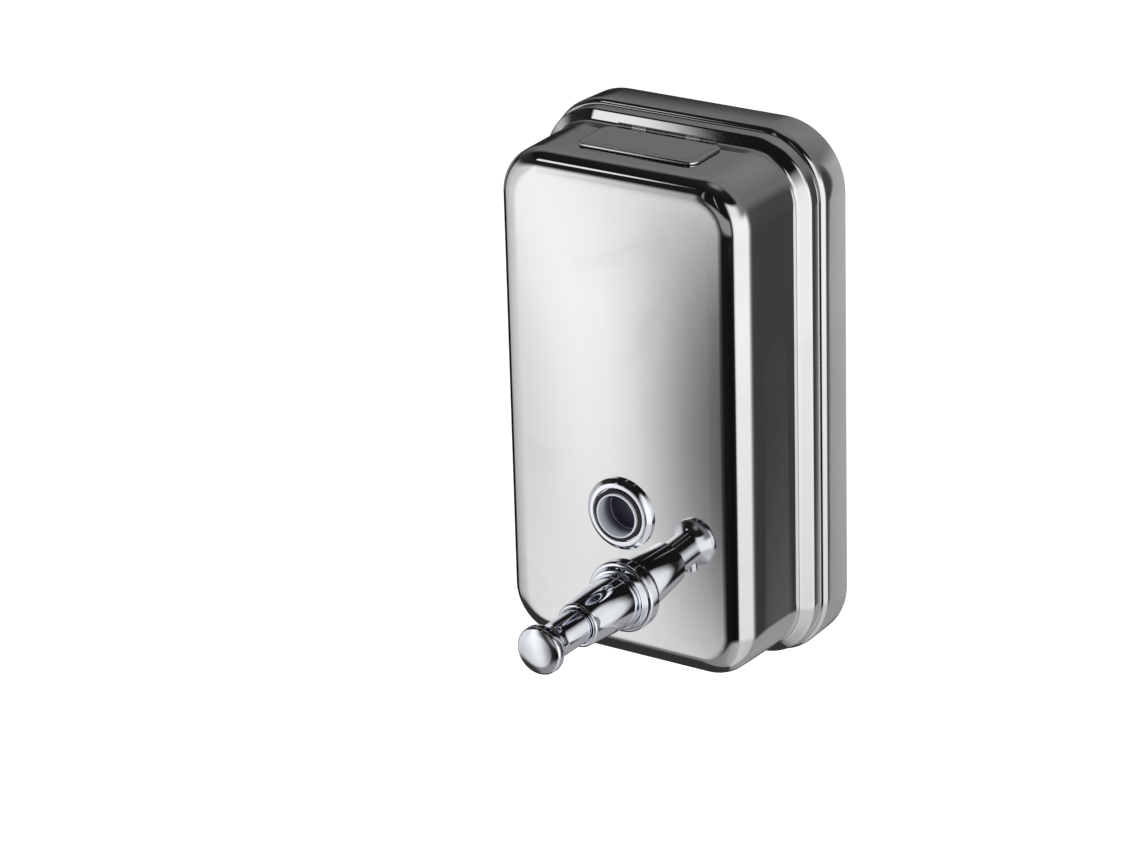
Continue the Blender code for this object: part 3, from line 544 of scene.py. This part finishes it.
def cutGrid(piece, axis, reach, cell, rule):
    # straight cuts across the face, so it has points to crown
    count = int(2 * reach / cell)
    normal = Vector((1, 0, 0)) if axis == 0 else Vector((0, 0, 1))
    for i in range(1, count):
        place = normal * (-reach + 2 * reach * i / count)
        selectFaces(piece, rule)
        bpy.ops.mesh.bisect(plane_co=place, plane_no=normal)


def crownFace(piece, plan, halfWidth, halfHeight):
    # the face swells a little towards its middle
    for vertex in piece.data.vertices:
        x, y, z = vertex.co
        lead = min(max((plan["crownFrom"] - y) / plan["faceFillet"], 0.0), 1.0)
        swell = (1 - (x / halfWidth) ** 2) * (1 - (z / halfHeight) ** 2)
        vertex.co.y -= plan["crown"] * max(swell, 0.0) * lead * lead * (3 - 2 * lead)


def cutFillerHole(body, plan):
    low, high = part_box("filler_neck")
    grow = plan["neckGap"] - plan["neckFlange"]
    hole = roundedPlate("hole", high.x - low.x + 2 * grow, high.y - low.y + 2 * grow,
                        plan["neckCorner"], (0, (low.y + high.y) / 2, plan["neckCutLow"]),
                        (0, 0, 0), 10)
    bpy.ops.mesh.extrude_region_move(
        TRANSFORM_OT_translate={"value": (0, 0, plan["neckCutTall"])})
    bpy.ops.mesh.select_all(action="SELECT")
    bpy.ops.mesh.normals_make_consistent(inside=False)
    endEdit()
    cutWith(body, hole)


def makeBody(plan):
    low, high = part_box("front_shell")
    width, height = high.x - low.x, high.z - low.z
    body = roundedPlate("body_shell", width, height, plan["cornerRear"] + plan["skirtOut"],
                        (0, high.y, 0))
    wallLength = plan["wallY"] - (plan["faceY"] + plan["faceFillet"])
    step = leanStep(plan["stepEdge"], plan["cove"], plan["skirtOut"], plan["tilt"], 7)
    press([(0, high.y - plan["wallY"] - sum(forward for inset, forward in step))])
    press(step)
    press([(plan["draft"] / 4, wallLength / 4)] * 4)
    press(roundOver(plan["faceFillet"], 14))
    press([(plan["faceRing"], 0)] * 4)
    front = plan["faceY"] + 0.3 * mm

    def onFace(middle, normal):
        return middle.y < front and normal.y < -0.99

    cutGrid(body, 0, width / 2 - plan["faceMargin"], plan["crownCell"], onFace)
    cutGrid(body, 2, height / 2 - plan["faceMargin"], plan["crownCell"], onFace)
    endEdit()
    crownFace(body, plan, width / 2 - plan["skirtOut"], height / 2 - plan["skirtOut"])
    applyModifier(body, "SOLIDIFY", thickness=plan["sheet"], offset=-1.0,
                  use_even_offset=True)
    for radius, z in ((plan["windowHole"], windowZ), (plan["valveHole"], valveZ)):
        drill(body, radius, (0, plan["drillFrom"], z), (0, plan["drillTo"], z), 96)
    cutFillerHole(body, plan)
    return finishPiece(body, root, bodySteel, "polished_steel", "front_shell")


makeBody(bodyPlan)


# rolled rear frame, open at the wall side but for its lip
framePlan = {"corner": 24.8 * mm, "backFillet": 0.6 * mm, "lip": 3.2 * mm,
             "fillet": 2.5 * mm, "frontY": -16.5 * mm, "flange": 9.3 * mm, "sheet": 1.0 * mm,
             "lean": 0.35 * mm}


def makeFrame(plan):
    low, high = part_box("rear_frame")
    width, height = high.x - low.x, high.z - low.z
    start = -plan["backFillet"]
    lean = 2 * plan["lean"]
    back = roundedPlate("rear_frame_skin", width - lean, height - lean,
                        plan["corner"] - plan["lean"], (0, start, 0), (-pi / 2, 0, 0))
    press(roundOver(plan["backFillet"], 4))
    press([(plan["lip"], 0)])
    bpy.ops.mesh.delete(type="FACE")
    endEdit()
    front = roundedPlate("frame_front", width - lean, height - lean,
                         plan["corner"] - plan["lean"], (0, start, 0))
    press([(0, start - plan["frontY"] - plan["fillet"])])
    bpy.ops.transform.resize(value=(width / (width - lean), 1, height / (height - lean)),
                             center_override=(0, plan["frontY"] + plan["fillet"], 0))
    press(roundOver(plan["fillet"], 10))
    press([(plan["flange"] * 0.5, 0)] * 2)
    bpy.ops.mesh.delete(type="FACE")
    endEdit()
    joinInto(back, front)
    beginEdit(back)
    bpy.ops.mesh.select_all(action="SELECT")
    bpy.ops.mesh.remove_doubles(threshold=0.00001)
    bpy.ops.mesh.normals_make_consistent(inside=False)
    endEdit()
    applyModifier(back, "SOLIDIFY", thickness=plan["sheet"], offset=-1.0,
                  use_even_offset=True)
    return finishPiece(back, root, frameSteel, "polished_steel", "rear_frame")


makeFrame(framePlan)


# tank back; wall and bead are (inset, forward) steps from the rim to the raised panel
backPlan = {"corner": 21.8 * mm, "rearY": -17.0 * mm, "fillet": 1.0 * mm,
            "rim": 13.0 * mm, "sheet": 1.0 * mm,
            "wall": ((0.5 * mm, 0.2 * mm), (1.36 * mm, 1.3 * mm), (0.5 * mm, 0.2 * mm)),
            "bead": ((1.2 * mm, 0), (0.5 * mm, -0.5 * mm), (0.6 * mm, 0),
                     (0.5 * mm, 0.5 * mm), (1.0 * mm, 0))}


def makeTankBack(plan):
    low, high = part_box("tank_back")
    back = roundedPlate("tank_back_skin", high.x - low.x, high.z - low.z, plan["corner"],
                        (0, low.y, 0), (-pi / 2, 0, 0))
    press([(0, plan["rearY"] - low.y - plan["fillet"])])
    press(roundOver(plan["fillet"], 4))
    press([(plan["rim"], 0)])
    press(plan["wall"])
    press(plan["bead"])
    endEdit()
    applyModifier(back, "SOLIDIFY", thickness=plan["sheet"], offset=-1.0,
                  use_even_offset=True)
    return finishPiece(back, root, plainSteel, "plain_steel", "tank_back", angle=25)


makeTankBack(backPlan)


# folded wall bracket, and the hanger rail with its weld spots
bracketPlan = {"sheet": 1.5 * mm, "bend": 2.5 * mm, "inner": 1.0 * mm, "corner": 4.0 * mm,
               "shelf": 70.0 * mm, "hole": 2.6 * mm, "drillFrom": 3.0 * mm,
               "drillTo": -4.0 * mm,
               "holes": ((-22.0, 55.0), (22.0, 55.0), (-22.0, -8.0), (22.0, -8.0))}
railPlan = {"sheet": 1.2 * mm, "bend": 2.0 * mm, "corner": 3.0 * mm, "hookLow": 72.0 * mm,
            "spots": (-21.0, -7.0, 7.0, 21.0), "spotZ": 63.5 * mm, "spotBall": 7.0 * mm,
            "spotDeep": 0.35 * mm}


def foldedSheet(name, width, path, sheet, side, corner):
    # a strip that follows (y, z) points, with its four free corners rounded
    (y, low), (_, top) = path[:2]
    deselectAll()
    bpy.ops.mesh.primitive_plane_add(size=1, location=(0, y, (low + top) / 2),
                                     rotation=(pi / 2, 0, 0))
    strip = bpy.context.object
    strip.name = name
    strip.scale = (width, top - low, 1)
    bpy.ops.object.transform_apply(location=True, rotation=True, scale=True)
    beginEdit(strip, "EDGE")
    selectEdges(strip, lambda a, b: min(a.z, b.z) > (low + top) / 2)
    for (y1, z1), (y2, z2) in zip(path[1:], path[2:]):
        bpy.ops.mesh.extrude_region_move(
            TRANSFORM_OT_translate={"value": (0, y2 - y1, z2 - z1)})
    ends = [Vector((0, *path[0])), Vector((0, *path[-1]))]
    bpy.ops.mesh.select_mode(type="VERT")
    bpy.ops.mesh.select_all(action="DESELECT")
    shape = bmesh.from_edit_mesh(strip.data)
    for vertex in shape.verts:
        flat = Vector((0, vertex.co.y, vertex.co.z))
        vertex.select_set(min((flat - end).length for end in ends) < 0.01 * mm)
    bmesh.update_edit_mesh(strip.data)
    bpy.ops.mesh.bevel(offset=corner, segments=8, affect="VERTICES")
    endEdit()
    applyModifier(strip, "SOLIDIFY", thickness=sheet, offset=side, use_even_offset=True)
    beginEdit(strip)
    bpy.ops.mesh.select_all(action="SELECT")
    bpy.ops.mesh.normals_make_consistent(inside=False)
    endEdit()
    return strip


def makeBracket(plan):
    low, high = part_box("wall_bracket")
    bend, inner, shelf = plan["bend"], plan["inner"], plan["shelf"]
    lipY = low.y + plan["sheet"]
    path = [(high.y, low.z)] + arcPoints(bend, high.y - bend, shelf - bend, 0, 90, 6)
    path += arcPoints(inner, lipY + inner, shelf + inner, -90, -180, 5) + [(lipY, high.z)]
    bracket = foldedSheet("wall_bracket_skin", high.x - low.x, path, plan["sheet"], 1.0,
                          plan["corner"])
    for x, z in plan["holes"]:
        drill(bracket, plan["hole"], (x * mm, plan["drillFrom"], z * mm),
              (x * mm, plan["drillTo"], z * mm), 32)
    return finishPiece(bracket, root, plainSteel, "plain_steel", "wall_bracket")


def makeRail(plan):
    low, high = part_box("hanger_rail")
    bend = plan["bend"]
    path = [(low.y, low.z)]
    path += arcPoints(bend, low.y + bend, high.z - bend, 180, 90, 6)
    path += arcPoints(bend, high.y - bend, high.z - bend, 90, 0, 6)
    path += [(high.y, plan["hookLow"])]
    rail = foldedSheet("hanger_rail_skin", high.x - low.x, path, plan["sheet"], -1.0,
                       plan["corner"])
    for x in plan["spots"]:
        deselectAll()
        bpy.ops.mesh.primitive_uv_sphere_add(
            segments=24, ring_count=16, radius=plan["spotBall"],
            location=(x * mm, low.y + plan["sheet"] + plan["spotBall"] - plan["spotDeep"],
                      plan["spotZ"]))
        cutWith(rail, bpy.context.object)
    return finishPiece(rail, root, plainSteel, "plain_steel", "hanger_rail")


makeBracket(bracketPlan)
makeRail(railPlan)


# filler lid, laid out about the hinge axis and then tilted with the top
lidPlan = {"width": 49.0 * mm, "front": -22.0 * mm, "rear": -1.4 * mm, "corner": 4.0 * mm,
           "under": -1.0 * mm, "edge": 0.75 * mm, "thick": 1.0 * mm, "slope": 0.6 / 27.5,
           "knuckle": 1.0 * mm, "spans": ((-14.0, -8.0), (8.0, 14.0)),
           "bore": 0.6 * mm, "boreReach": 21.0 * mm,
           "tabY": -1.3 * mm, "tabZ": -0.7 * mm, "tabLong": 2.4 * mm, "tabThick": 0.58 * mm,
           "dish": ((1.0 * mm, 0), (0.5 * mm, -0.03 * mm), (0.5 * mm, -0.02 * mm),
                    (0.8 * mm, 0))}


def addKnuckle(lid, plan, left, right):
    drill(lid, plan["knuckle"], (left * mm, 0, 0), (right * mm, 0, 0), 32, "UNION")
    deselectAll()
    bpy.ops.mesh.primitive_cube_add(size=1, location=((left + right) / 2 * mm, plan["tabY"],
                                                      plan["tabZ"]))
    tab = bpy.context.object
    tab.scale = ((right - left) * mm, plan["tabLong"], plan["tabThick"])
    bpy.ops.object.transform_apply(location=True, rotation=True, scale=True)
    cutWith(lid, tab, "UNION")


def makeLid(plan):
    depth = plan["rear"] - plan["front"]
    middle = (plan["rear"] + plan["front"]) / 2
    lid = roundedPlate("filler_lid_skin", plan["width"], depth, plan["corner"],
                       (0, middle, plan["under"]), (0, 0, 0), 14)
    bpy.ops.mesh.duplicate()  # the copy stays as the underside
    bpy.ops.mesh.flip_normals()
    selectFaces(lid, lambda centre, normal: normal.z > 0)
    press([(0, plan["thick"] - plan["edge"])])
    press(roundOver(plan["edge"], 6))
    press(plan["dish"])
    bpy.ops.mesh.select_all(action="SELECT")
    bpy.ops.mesh.remove_doubles(threshold=0.00001)
    endEdit()
    for left, right in plan["spans"]:
        addKnuckle(lid, plan, left, right)
    drill(lid, plan["bore"], (-plan["boreReach"], 0, 0), (plan["boreReach"], 0, 0), 24)
    lid.rotation_euler.x = atan2(plan["slope"], 1)
    lid.location = lidHinge
    return finishPiece(lid, "lid", lidSteel, "polished_steel", "filler_lid")


makeLid(lidPlan)


# sight window: bezel, the ring round the lens, and the lens, a clear blind cup
windowPlan = {"rim": 13.5 * mm, "base": -61.2 * mm, "edge": -63.0 * mm, "top": -64.4 * mm,
              "edgeRound": 0.2 * mm, "topRound": 0.8 * mm, "topInset": 1.9 * mm,
              "land": 0.6 * mm, "lipRound": 0.25 * mm, "ring": 10.0 * mm,
              "recess": -63.5 * mm, "bore": 8.5 * mm, "sleeveEnd": -52.0 * mm,
              "ringOut": 9.7 * mm, "ringIn": 8.35 * mm, "ringRound": 0.35 * mm,
              "ringSeat": -63.8 * mm, "lens": 8.3 * mm, "lensBore": 7.7 * mm,
              "lensEnd": -56.6 * mm, "lensHub": 2.31 * mm, "lensRear": 0.5 * mm,
              "lensMouth": 0.25 * mm}


def makeBezel(plan):
    rim, top, ring = plan["rim"], plan["top"], plan["ring"]
    edgeRound, topRound, lip = plan["edgeRound"], plan["topRound"], plan["lipRound"]
    profile = [(rim, plan["base"]), (rim, plan["edge"] + edgeRound / 2)]
    profile += arcPoints(edgeRound, rim - edgeRound, plan["edge"], 0, -45, 3)
    profile += arcPoints(topRound, rim - plan["topInset"], top + topRound, -45, -90, 6)
    profile += [(ring + plan["land"], top)]
    profile += arcPoints(lip, ring + lip, top + lip, -90, -180, 4)
    profile += [(ring, top + lip * 1.2), (ring, plan["recess"]),
                (plan["bore"], plan["recess"]), (plan["bore"], plan["sleeveEnd"]),
                (ring, plan["sleeveEnd"]), (ring, plan["base"])]
    piece = turnedPiece("window_bezel_skin", windowZ, profile)
    return finishPiece(piece, root, chromePlate, "chrome", "window_bezel")


def makeLensRing(plan):
    # a soft outer edge that stands a little proud, and a bevelled bore
    out, bore, seat = plan["ringOut"], plan["ringIn"], plan["ringSeat"]
    proud, edge = plan["top"] - 0.1 * mm, plan["ringRound"]
    profile = [(out, seat), (out, proud + 0.3 * mm)]
    profile += arcPoints(edge, out - edge, proud, 0, -90, 4)
    profile += [(bore + 0.3 * mm, proud - 0.25 * mm), (bore, proud), (bore, seat)]
    piece = turnedPiece("window_ring_skin", windowZ, profile)
    return finishPiece(piece, root, blackRubber, "black_rubber", "window_seal_ring")


def makeLensCup(plan):
    low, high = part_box("window_lens")
    out, bore, blind = plan["lens"], plan["lensBore"], plan["lensEnd"]
    hub, rear, mouth = plan["lensHub"], plan["lensRear"], plan["lensMouth"]
    profile = [(hub, high.y), (out - rear * 1.2, high.y)]
    profile += arcPoints(rear, out - rear, high.y - rear, 90, 0, 4)
    profile += arcPoints(mouth, out - mouth, low.y + mouth, 0, -90, 4)
    profile += arcPoints(mouth, bore + mouth, low.y + mouth, -90, -180, 4)
    profile += arcPoints(rear, bore - rear, blind - rear, 0, 90, 5)
    profile += [(hub, blind)]
    piece = turnedPiece("window_cup_skin", windowZ, profile, hollow=False)
    return finishPiece(piece, root, clearPlastic, "clear_plastic", "window_lens")


makeBezel(windowPlan)
makeLensRing(windowPlan)
makeLensCup(windowPlan)


# push valve: the flange on the face, the barrel and the button
valvePlan = {"rim": 13.5 * mm, "base": -60.9 * mm, "flangeTop": -64.4 * mm,
             "rimRound": 0.9 * mm, "collar": 11.75 * mm, "collarTop": -67.3 * mm,
             "collarFoot": 0.3 * mm, "collarRound": 0.5 * mm, "bore": 5.3 * mm,
             "spigot": 7.7 * mm, "spigotEnd": -47.5 * mm}


def makeValveFlange(plan):
    rim, top, edge = plan["rim"], plan["flangeTop"], plan["rimRound"]
    collar, collarTop = plan["collar"], plan["collarTop"]
    foot, crest = plan["collarFoot"], plan["collarRound"]
    profile = [(plan["spigot"], plan["base"]), (rim, plan["base"]), (rim, top + 1.4 * mm)]
    profile += arcPoints(edge, rim - edge, top + edge, 0, -90, 6)
    profile += arcPoints(foot, collar + foot * 1.5, top - foot, 90, 172, 4)
    profile += arcPoints(crest, collar - crest * 1.5, collarTop + crest, 8, -90, 6)
    profile += [(plan["bore"], collarTop), (plan["bore"], plan["spigotEnd"]),
                (plan["spigot"], plan["spigotEnd"])]
    piece = turnedPiece("valve_flange_skin", valveZ, profile)
    return finishPiece(piece, root, chromePlate, "chrome", "valve_flange")


barrelPlan = {"rear": 10.3 * mm, "front": 8.3 * mm, "bore": 7.4 * mm, "lip": 6.7 * mm,
              "lipDeep": 2.5 * mm, "nose": 0.9 * mm, "edgeRound": 0.5 * mm}


def makeBarrel(plan):
    rearY, frontY = valveHigh.y, valveLow.y
    nose, edge = plan["nose"], plan["edgeRound"]
    profile = [(plan["bore"], rearY)]
    profile += arcPoints(edge, plan["rear"] - edge, rearY - edge, 90, 5, 4)
    profile += arcPoints(nose, plan["front"] - nose, frontY + nose, -5, -90, 8)
    profile += arcPoints(edge, plan["lip"] + edge, frontY + edge, -90, -180, 4)
    profile += [(plan["lip"], frontY + plan["lipDeep"]),
                (plan["bore"], frontY + plan["lipDeep"])]
    piece = turnedPiece("valve_barrel_skin", valveZ, profile)
    return finishPiece(piece, root, chromePlate, "chrome", "valve_barrel")


buttonPlan = {"shoulder": 7.1 * mm, "shoulderY": -89.7 * mm, "neck": 6.4 * mm,
              "flareY": -106.0 * mm, "flareSteps": 14, "flarePower": 2.6,
              "discY": -113.6 * mm, "disc": 9.0 * mm, "rim": 0.6 * mm,
              "capRound": 1.2 * mm, "capLow": 1.45 * mm,
              "dome": ((5.5 * mm, 0.12 * mm), (2.5 * mm, 0.02 * mm), (0.4 * mm, 0)),
              "bore": 2.6 * mm, "boreEnd": -111.5 * mm, "outletY": -109.6 * mm,
              "nipple": 2.9 * mm, "nippleFrom": 3.5 * mm, "outlet": 1.7 * mm,
              "drop": 9.4 * mm}


def makeButton(plan):
    low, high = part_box("push_button")
    neck, disc, rim, cap = plan["neck"], plan["disc"], plan["rim"], plan["capRound"]
    profile = [(plan["bore"], high.y), (plan["shoulder"] - rim / 2, high.y),
               (plan["shoulder"], high.y - rim / 2), (plan["shoulder"], plan["shoulderY"]),
               (neck, plan["shoulderY"])]
    for i in range(plan["flareSteps"] + 1):
        t = i / plan["flareSteps"]
        profile.append((neck + (disc - rim / 2 - neck) * t ** plan["flarePower"],
                        plan["flareY"] + (plan["discY"] - plan["flareY"]) * t))
    profile += arcPoints(rim, disc - rim, plan["discY"] - rim, 60, 0, 4)
    profile += arcPoints(cap, disc - cap, low.y + plan["capLow"], 0, -75, 8)
    profile += [(radius, low.y + rise) for radius, rise in plan["dome"]]
    piece = turnedPiece("push_button_skin", valveZ, profile, hollow=False)
    drill(piece, plan["nipple"], (0, plan["outletY"], valveZ - plan["nippleFrom"]),
          (0, plan["outletY"], valveZ - plan["drop"]), 48, "UNION")
    drill(piece, plan["outlet"], (0, plan["outletY"], valveZ),
          (0, plan["outletY"], valveZ - plan["drop"] - 2 * mm), 40)
    drill(piece, plan["bore"], (0, high.y + 2 * mm, valveZ), (0, plan["boreEnd"], valveZ), 48)
    return finishPiece(piece, "plunger", chromePlate, "chrome", "push_button")


makeValveFlange(valvePlan)
makeBarrel(barrelPlan)
makeButton(buttonPlan)


# finishes for the CAD nodes that stay as they are
finishOfSlot = {"polished_steel": bodySteel, "plain_steel": plainSteel, "chrome": chromePlate,
                "black_rubber": blackRubber, "clear_plastic": clearPlastic,
                "white_nylon": whiteNylon, "spring_steel": drawnWire}
for part in frame["record"]["subparts"]:
    mesh = nodes[part["node"]].data
    mesh.materials.clear()
    mesh.materials.append(finishOfSlot[part["material_slot"]])
print("CAD nodes finished")


floorPlan = {"size": 12, "below": 150 * mm, "dull": 0.9, "shine": 0.1, "glow": 0.72,
             "cloudScale": 3.0, "dark": 0.93, "light": 0.95}


def makeFloor(plan):
    deselectAll()
    bpy.ops.mesh.primitive_plane_add(size=plan["size"],
                                     location=(0, 0, cadLow.z - plan["below"]))
    floor = bpy.context.object
    floor.name = "studio_floor"
    material, tree, shader, coords = newMaterial("paleFloor")
    cloud = addNode(tree, "ShaderNodeTexNoise", Scale=plan["cloudScale"], Detail=2.0)
    tree.links.new(coords, cloud.inputs["Vector"])
    tree.links.new(rampNode(tree, cloud.outputs["Fac"],
                            ((0.3, plan["dark"]), (0.7, plan["light"]))),
                   shader.inputs["Base Color"])
    shader.inputs["Roughness"].default_value = plan["dull"]
    shader.inputs["Specular IOR Level"].default_value = plan["shine"]
    shader.inputs["Emission Color"].default_value = (1, 1, 1, 1)
    shader.inputs["Emission Strength"].default_value = plan["glow"]
    floor.data.materials.append(material)
    floor.visible_glossy = False


# degrees from straight ahead, towards +X, and the brightness there
warmDark, coolPale = (1.0, 0.94, 0.89), (1.0, 0.985, 1.015)
lowBand = ((-180, 0.55), (-165, 0.35), (-150, 0.05), (-140, 0.01), (-98, 0.01), (-90, 0.5),
           (-60, 0.72), (-42, 0.78), (-38, 0.92), (-37, 1.03), (-35, 1.12), (-33.5, 1.06),
           (-32, 0.87), (-31.2, 0.70), (-30, 0.46), (-28.8, 0.28), (-27.7, 0.14),
           (-25.5, 0.04), (-16, 0.012), (20, 0.006), (33, 0.02), (39, 0.95), (46, 1.1),
           (110, 1.1), (122, 0.42), (131, 0.15), (140, 0.075), (147.2, 0.055), (149.0, 0.42),
           (160, 0.5), (180, 0.55))
middleBand = ((-180, 0.25), (-150, 0.18), (-125, 0.17), (-100, 0.04), (-60, 0.02),
              (-38, 0.015), (-23, 0.01), (-21, 0.4), (-19, 0.01), (-1, 0.01), (1, 0.5),
              (3, 0.01), (30, 0.01), (38, 0.7), (44, 1.0), (72, 0.9), (95, 0.28),
              (115, 0.2), (150, 0.17), (180, 0.25))
groundBand = ((-180, 0.35), (-166, 0.3), (-152, 0.04), (-43, 0.04), (-37, 0.25), (-12, 0.3),
              (0, 0.4), (34, 0.5), (46, 0.7), (110, 0.6), (124, 0.35), (180, 0.35))
aheadBand = ((-180, 0.0), (-142, 0.0), (-132, 0.8), (-110, 0.8), (-100, 0.0), (-24, 0.0),
             (-16, 1.0), (22, 1.0), (30, 0.0), (180, 0.0))

# degrees up from the horizon, and the brightness there
overhead = ((0, 0.0), (52, 0.01), (72, 0.02), (90, 0.3))
underneath = ((-90, 0.6), (-32, 0.76), (-25, 0.84), (-22.6, 0.91), (-19.5, 1.0), (0, 1.0))
aheadLevel = ((-90, 0.0), (-18.4, 0.0), (-15, 1.0), (0, 1.0), (6, 0.0), (90, 0.0))

roomPlan = {"upperWalls": (6, 22), "ceiling": (34, 44), "ground": (-27, -34),
            "rearHalf": (-0.05, -0.30), "rearGlow": 0.2, "aheadGlow": 0.3,
            "panelToward": (-0.550, -0.541, 0.636), "panelEdge": (0.085, 0.05)}


def tinted(value):
    # dark walls of the room are warm, the pale ones a touch violet
    tint = warmDark if value < 0.12 else coolPale if value < 0.85 else (1.0, 1.0, 1.0)
    return tuple(value * t for t in tint)


def makeWorld(plan):
    white = (1.0, 1.0, 1.0, 1.0)
    world = bpy.data.worlds.new("studio")
    bpy.context.scene.world = world
    world.use_nodes = True
    tree = world.node_tree
    direction = addNode(tree, "ShaderNodeTexCoord").outputs["Generated"]
    split = tree.nodes.new("ShaderNodeSeparateXYZ")
    tree.links.new(direction, split.inputs[0])
    ahead = mathNode(tree, "MULTIPLY", split.outputs["Y"], -1.0)
    turn = mathNode(tree, "ARCTAN2", split.outputs["X"], ahead)
    height = mathNode(tree, "ARCSINE", split.outputs["Z"])

    def byTurn(band, shade=tinted):
        along = remap(tree, turn, -pi, pi, 0.0, 1.0)
        return rampNode(tree, along, [((a + 180) / 360, shade(v)) for a, v in band])

    def byHeight(band):
        low, high = band[0][0], band[-1][0]
        along = remap(tree, height, radians(low), radians(high), 0.0, 1.0)
        return rampNode(tree, along, [((e - low) / (high - low), v) for e, v in band])

    def beyond(limits):
        return remap(tree, height, *(radians(e) for e in limits), 0.0, 1.0, True)

    colour = mixColours(tree, beyond(plan["upperWalls"]), byTurn(lowBand), byTurn(middleBand))
    ceiling = mixColours(tree, remap(tree, ahead, *plan["rearHalf"], 0.0, 1.0, True),
                         byHeight(overhead), (*tinted(plan["rearGlow"]), 1))
    colour = mixColours(tree, beyond(plan["ceiling"]), colour, ceiling)
    panel = addNode(tree, "ShaderNodeVectorMath", operation="DISTANCE")
    tree.links.new(direction, panel.inputs[0])
    panel.inputs[1].default_value = plan["panelToward"]
    glow = remap(tree, panel.outputs["Value"], *plan["panelEdge"], 0.0, 1.0, True)
    colour = mixColours(tree, glow, colour, white)
    colour = mixColours(tree, 1.0, colour, byHeight(underneath), "MULTIPLY")
    colour = mixColours(tree, beyond(plan["ground"]), colour, byTurn(groundBand))
    opening = mathNode(tree, "MULTIPLY", byTurn(aheadBand, float), byHeight(aheadLevel))
    colour = mixColours(tree, opening, colour, (*tinted(plan["aheadGlow"]), 1))
    seen = addNode(tree, "ShaderNodeLightPath").outputs["Is Camera Ray"]
    tree.links.new(mixColours(tree, seen, colour, white),
                   tree.nodes["Background"].inputs["Color"])


lights = ({"name": "key_softbox", "place": (-0.7, -1.1, 0.9), "size": 0.9, "power": 9.0},
          {"name": "fill_softbox", "place": (1.2, -0.9, 0.6), "size": 0.9, "power": 5.0},
          {"name": "rear_softbox", "place": (0.3, 1.2, 0.9), "size": 0.9, "power": 6.0})


def makeLights():
    for look in lights:
        lamp = bpy.data.lights.new(look["name"], "AREA")
        lamp.size = look["size"]
        lamp.energy = look["power"]
        holder = bpy.data.objects.new(look["name"], lamp)
        bpy.context.scene.collection.objects.link(holder)
        holder.location = look["place"]
        holder.rotation_euler = (-Vector(look["place"])).to_track_quat("-Z", "Y").to_euler()
        holder.visible_glossy = False


cameraPlan = {"azimuth": 33.87, "elevation": 22.04, "roll": -1.655, "distance": 1.6036,
              "target": (0, -50 * mm, 0), "shiftRight": 23.85 * mm, "shiftUp": 6.93 * mm,
              "lens": 143.03, "sensor": 36.0}


def makeCamera(plan):
    azimuth, elevation, roll = (radians(plan[k]) for k in ("azimuth", "elevation", "roll"))
    back = Vector((sin(azimuth) * cos(elevation), -cos(azimuth) * cos(elevation),
                   sin(elevation)))
    level = Vector((cos(azimuth), sin(azimuth), 0))
    upright = back.cross(level)
    right = level * cos(roll) + upright * sin(roll)
    up = upright * cos(roll) - level * sin(roll)
    lens = bpy.data.cameras.new("camera")
    lens.lens, lens.sensor_width = plan["lens"], plan["sensor"]
    lens.clip_start, lens.clip_end = 0.01, 50
    camera = bpy.data.objects.new("camera", lens)
    bpy.context.scene.collection.objects.link(camera)
    place = (Vector(plan["target"]) + back * plan["distance"] - right * plan["shiftRight"]
             - up * plan["shiftUp"])
    turn = Matrix((right, up, back)).transposed().to_4x4()
    camera.matrix_world = Matrix.Translation(place) @ turn
    bpy.context.scene.camera = camera


makeFloor(floorPlan)
makeWorld(roomPlan)
makeLights()
makeCamera(cameraPlan)
bpy.context.scene.view_settings.view_transform = "Standard"
print("studio ready")
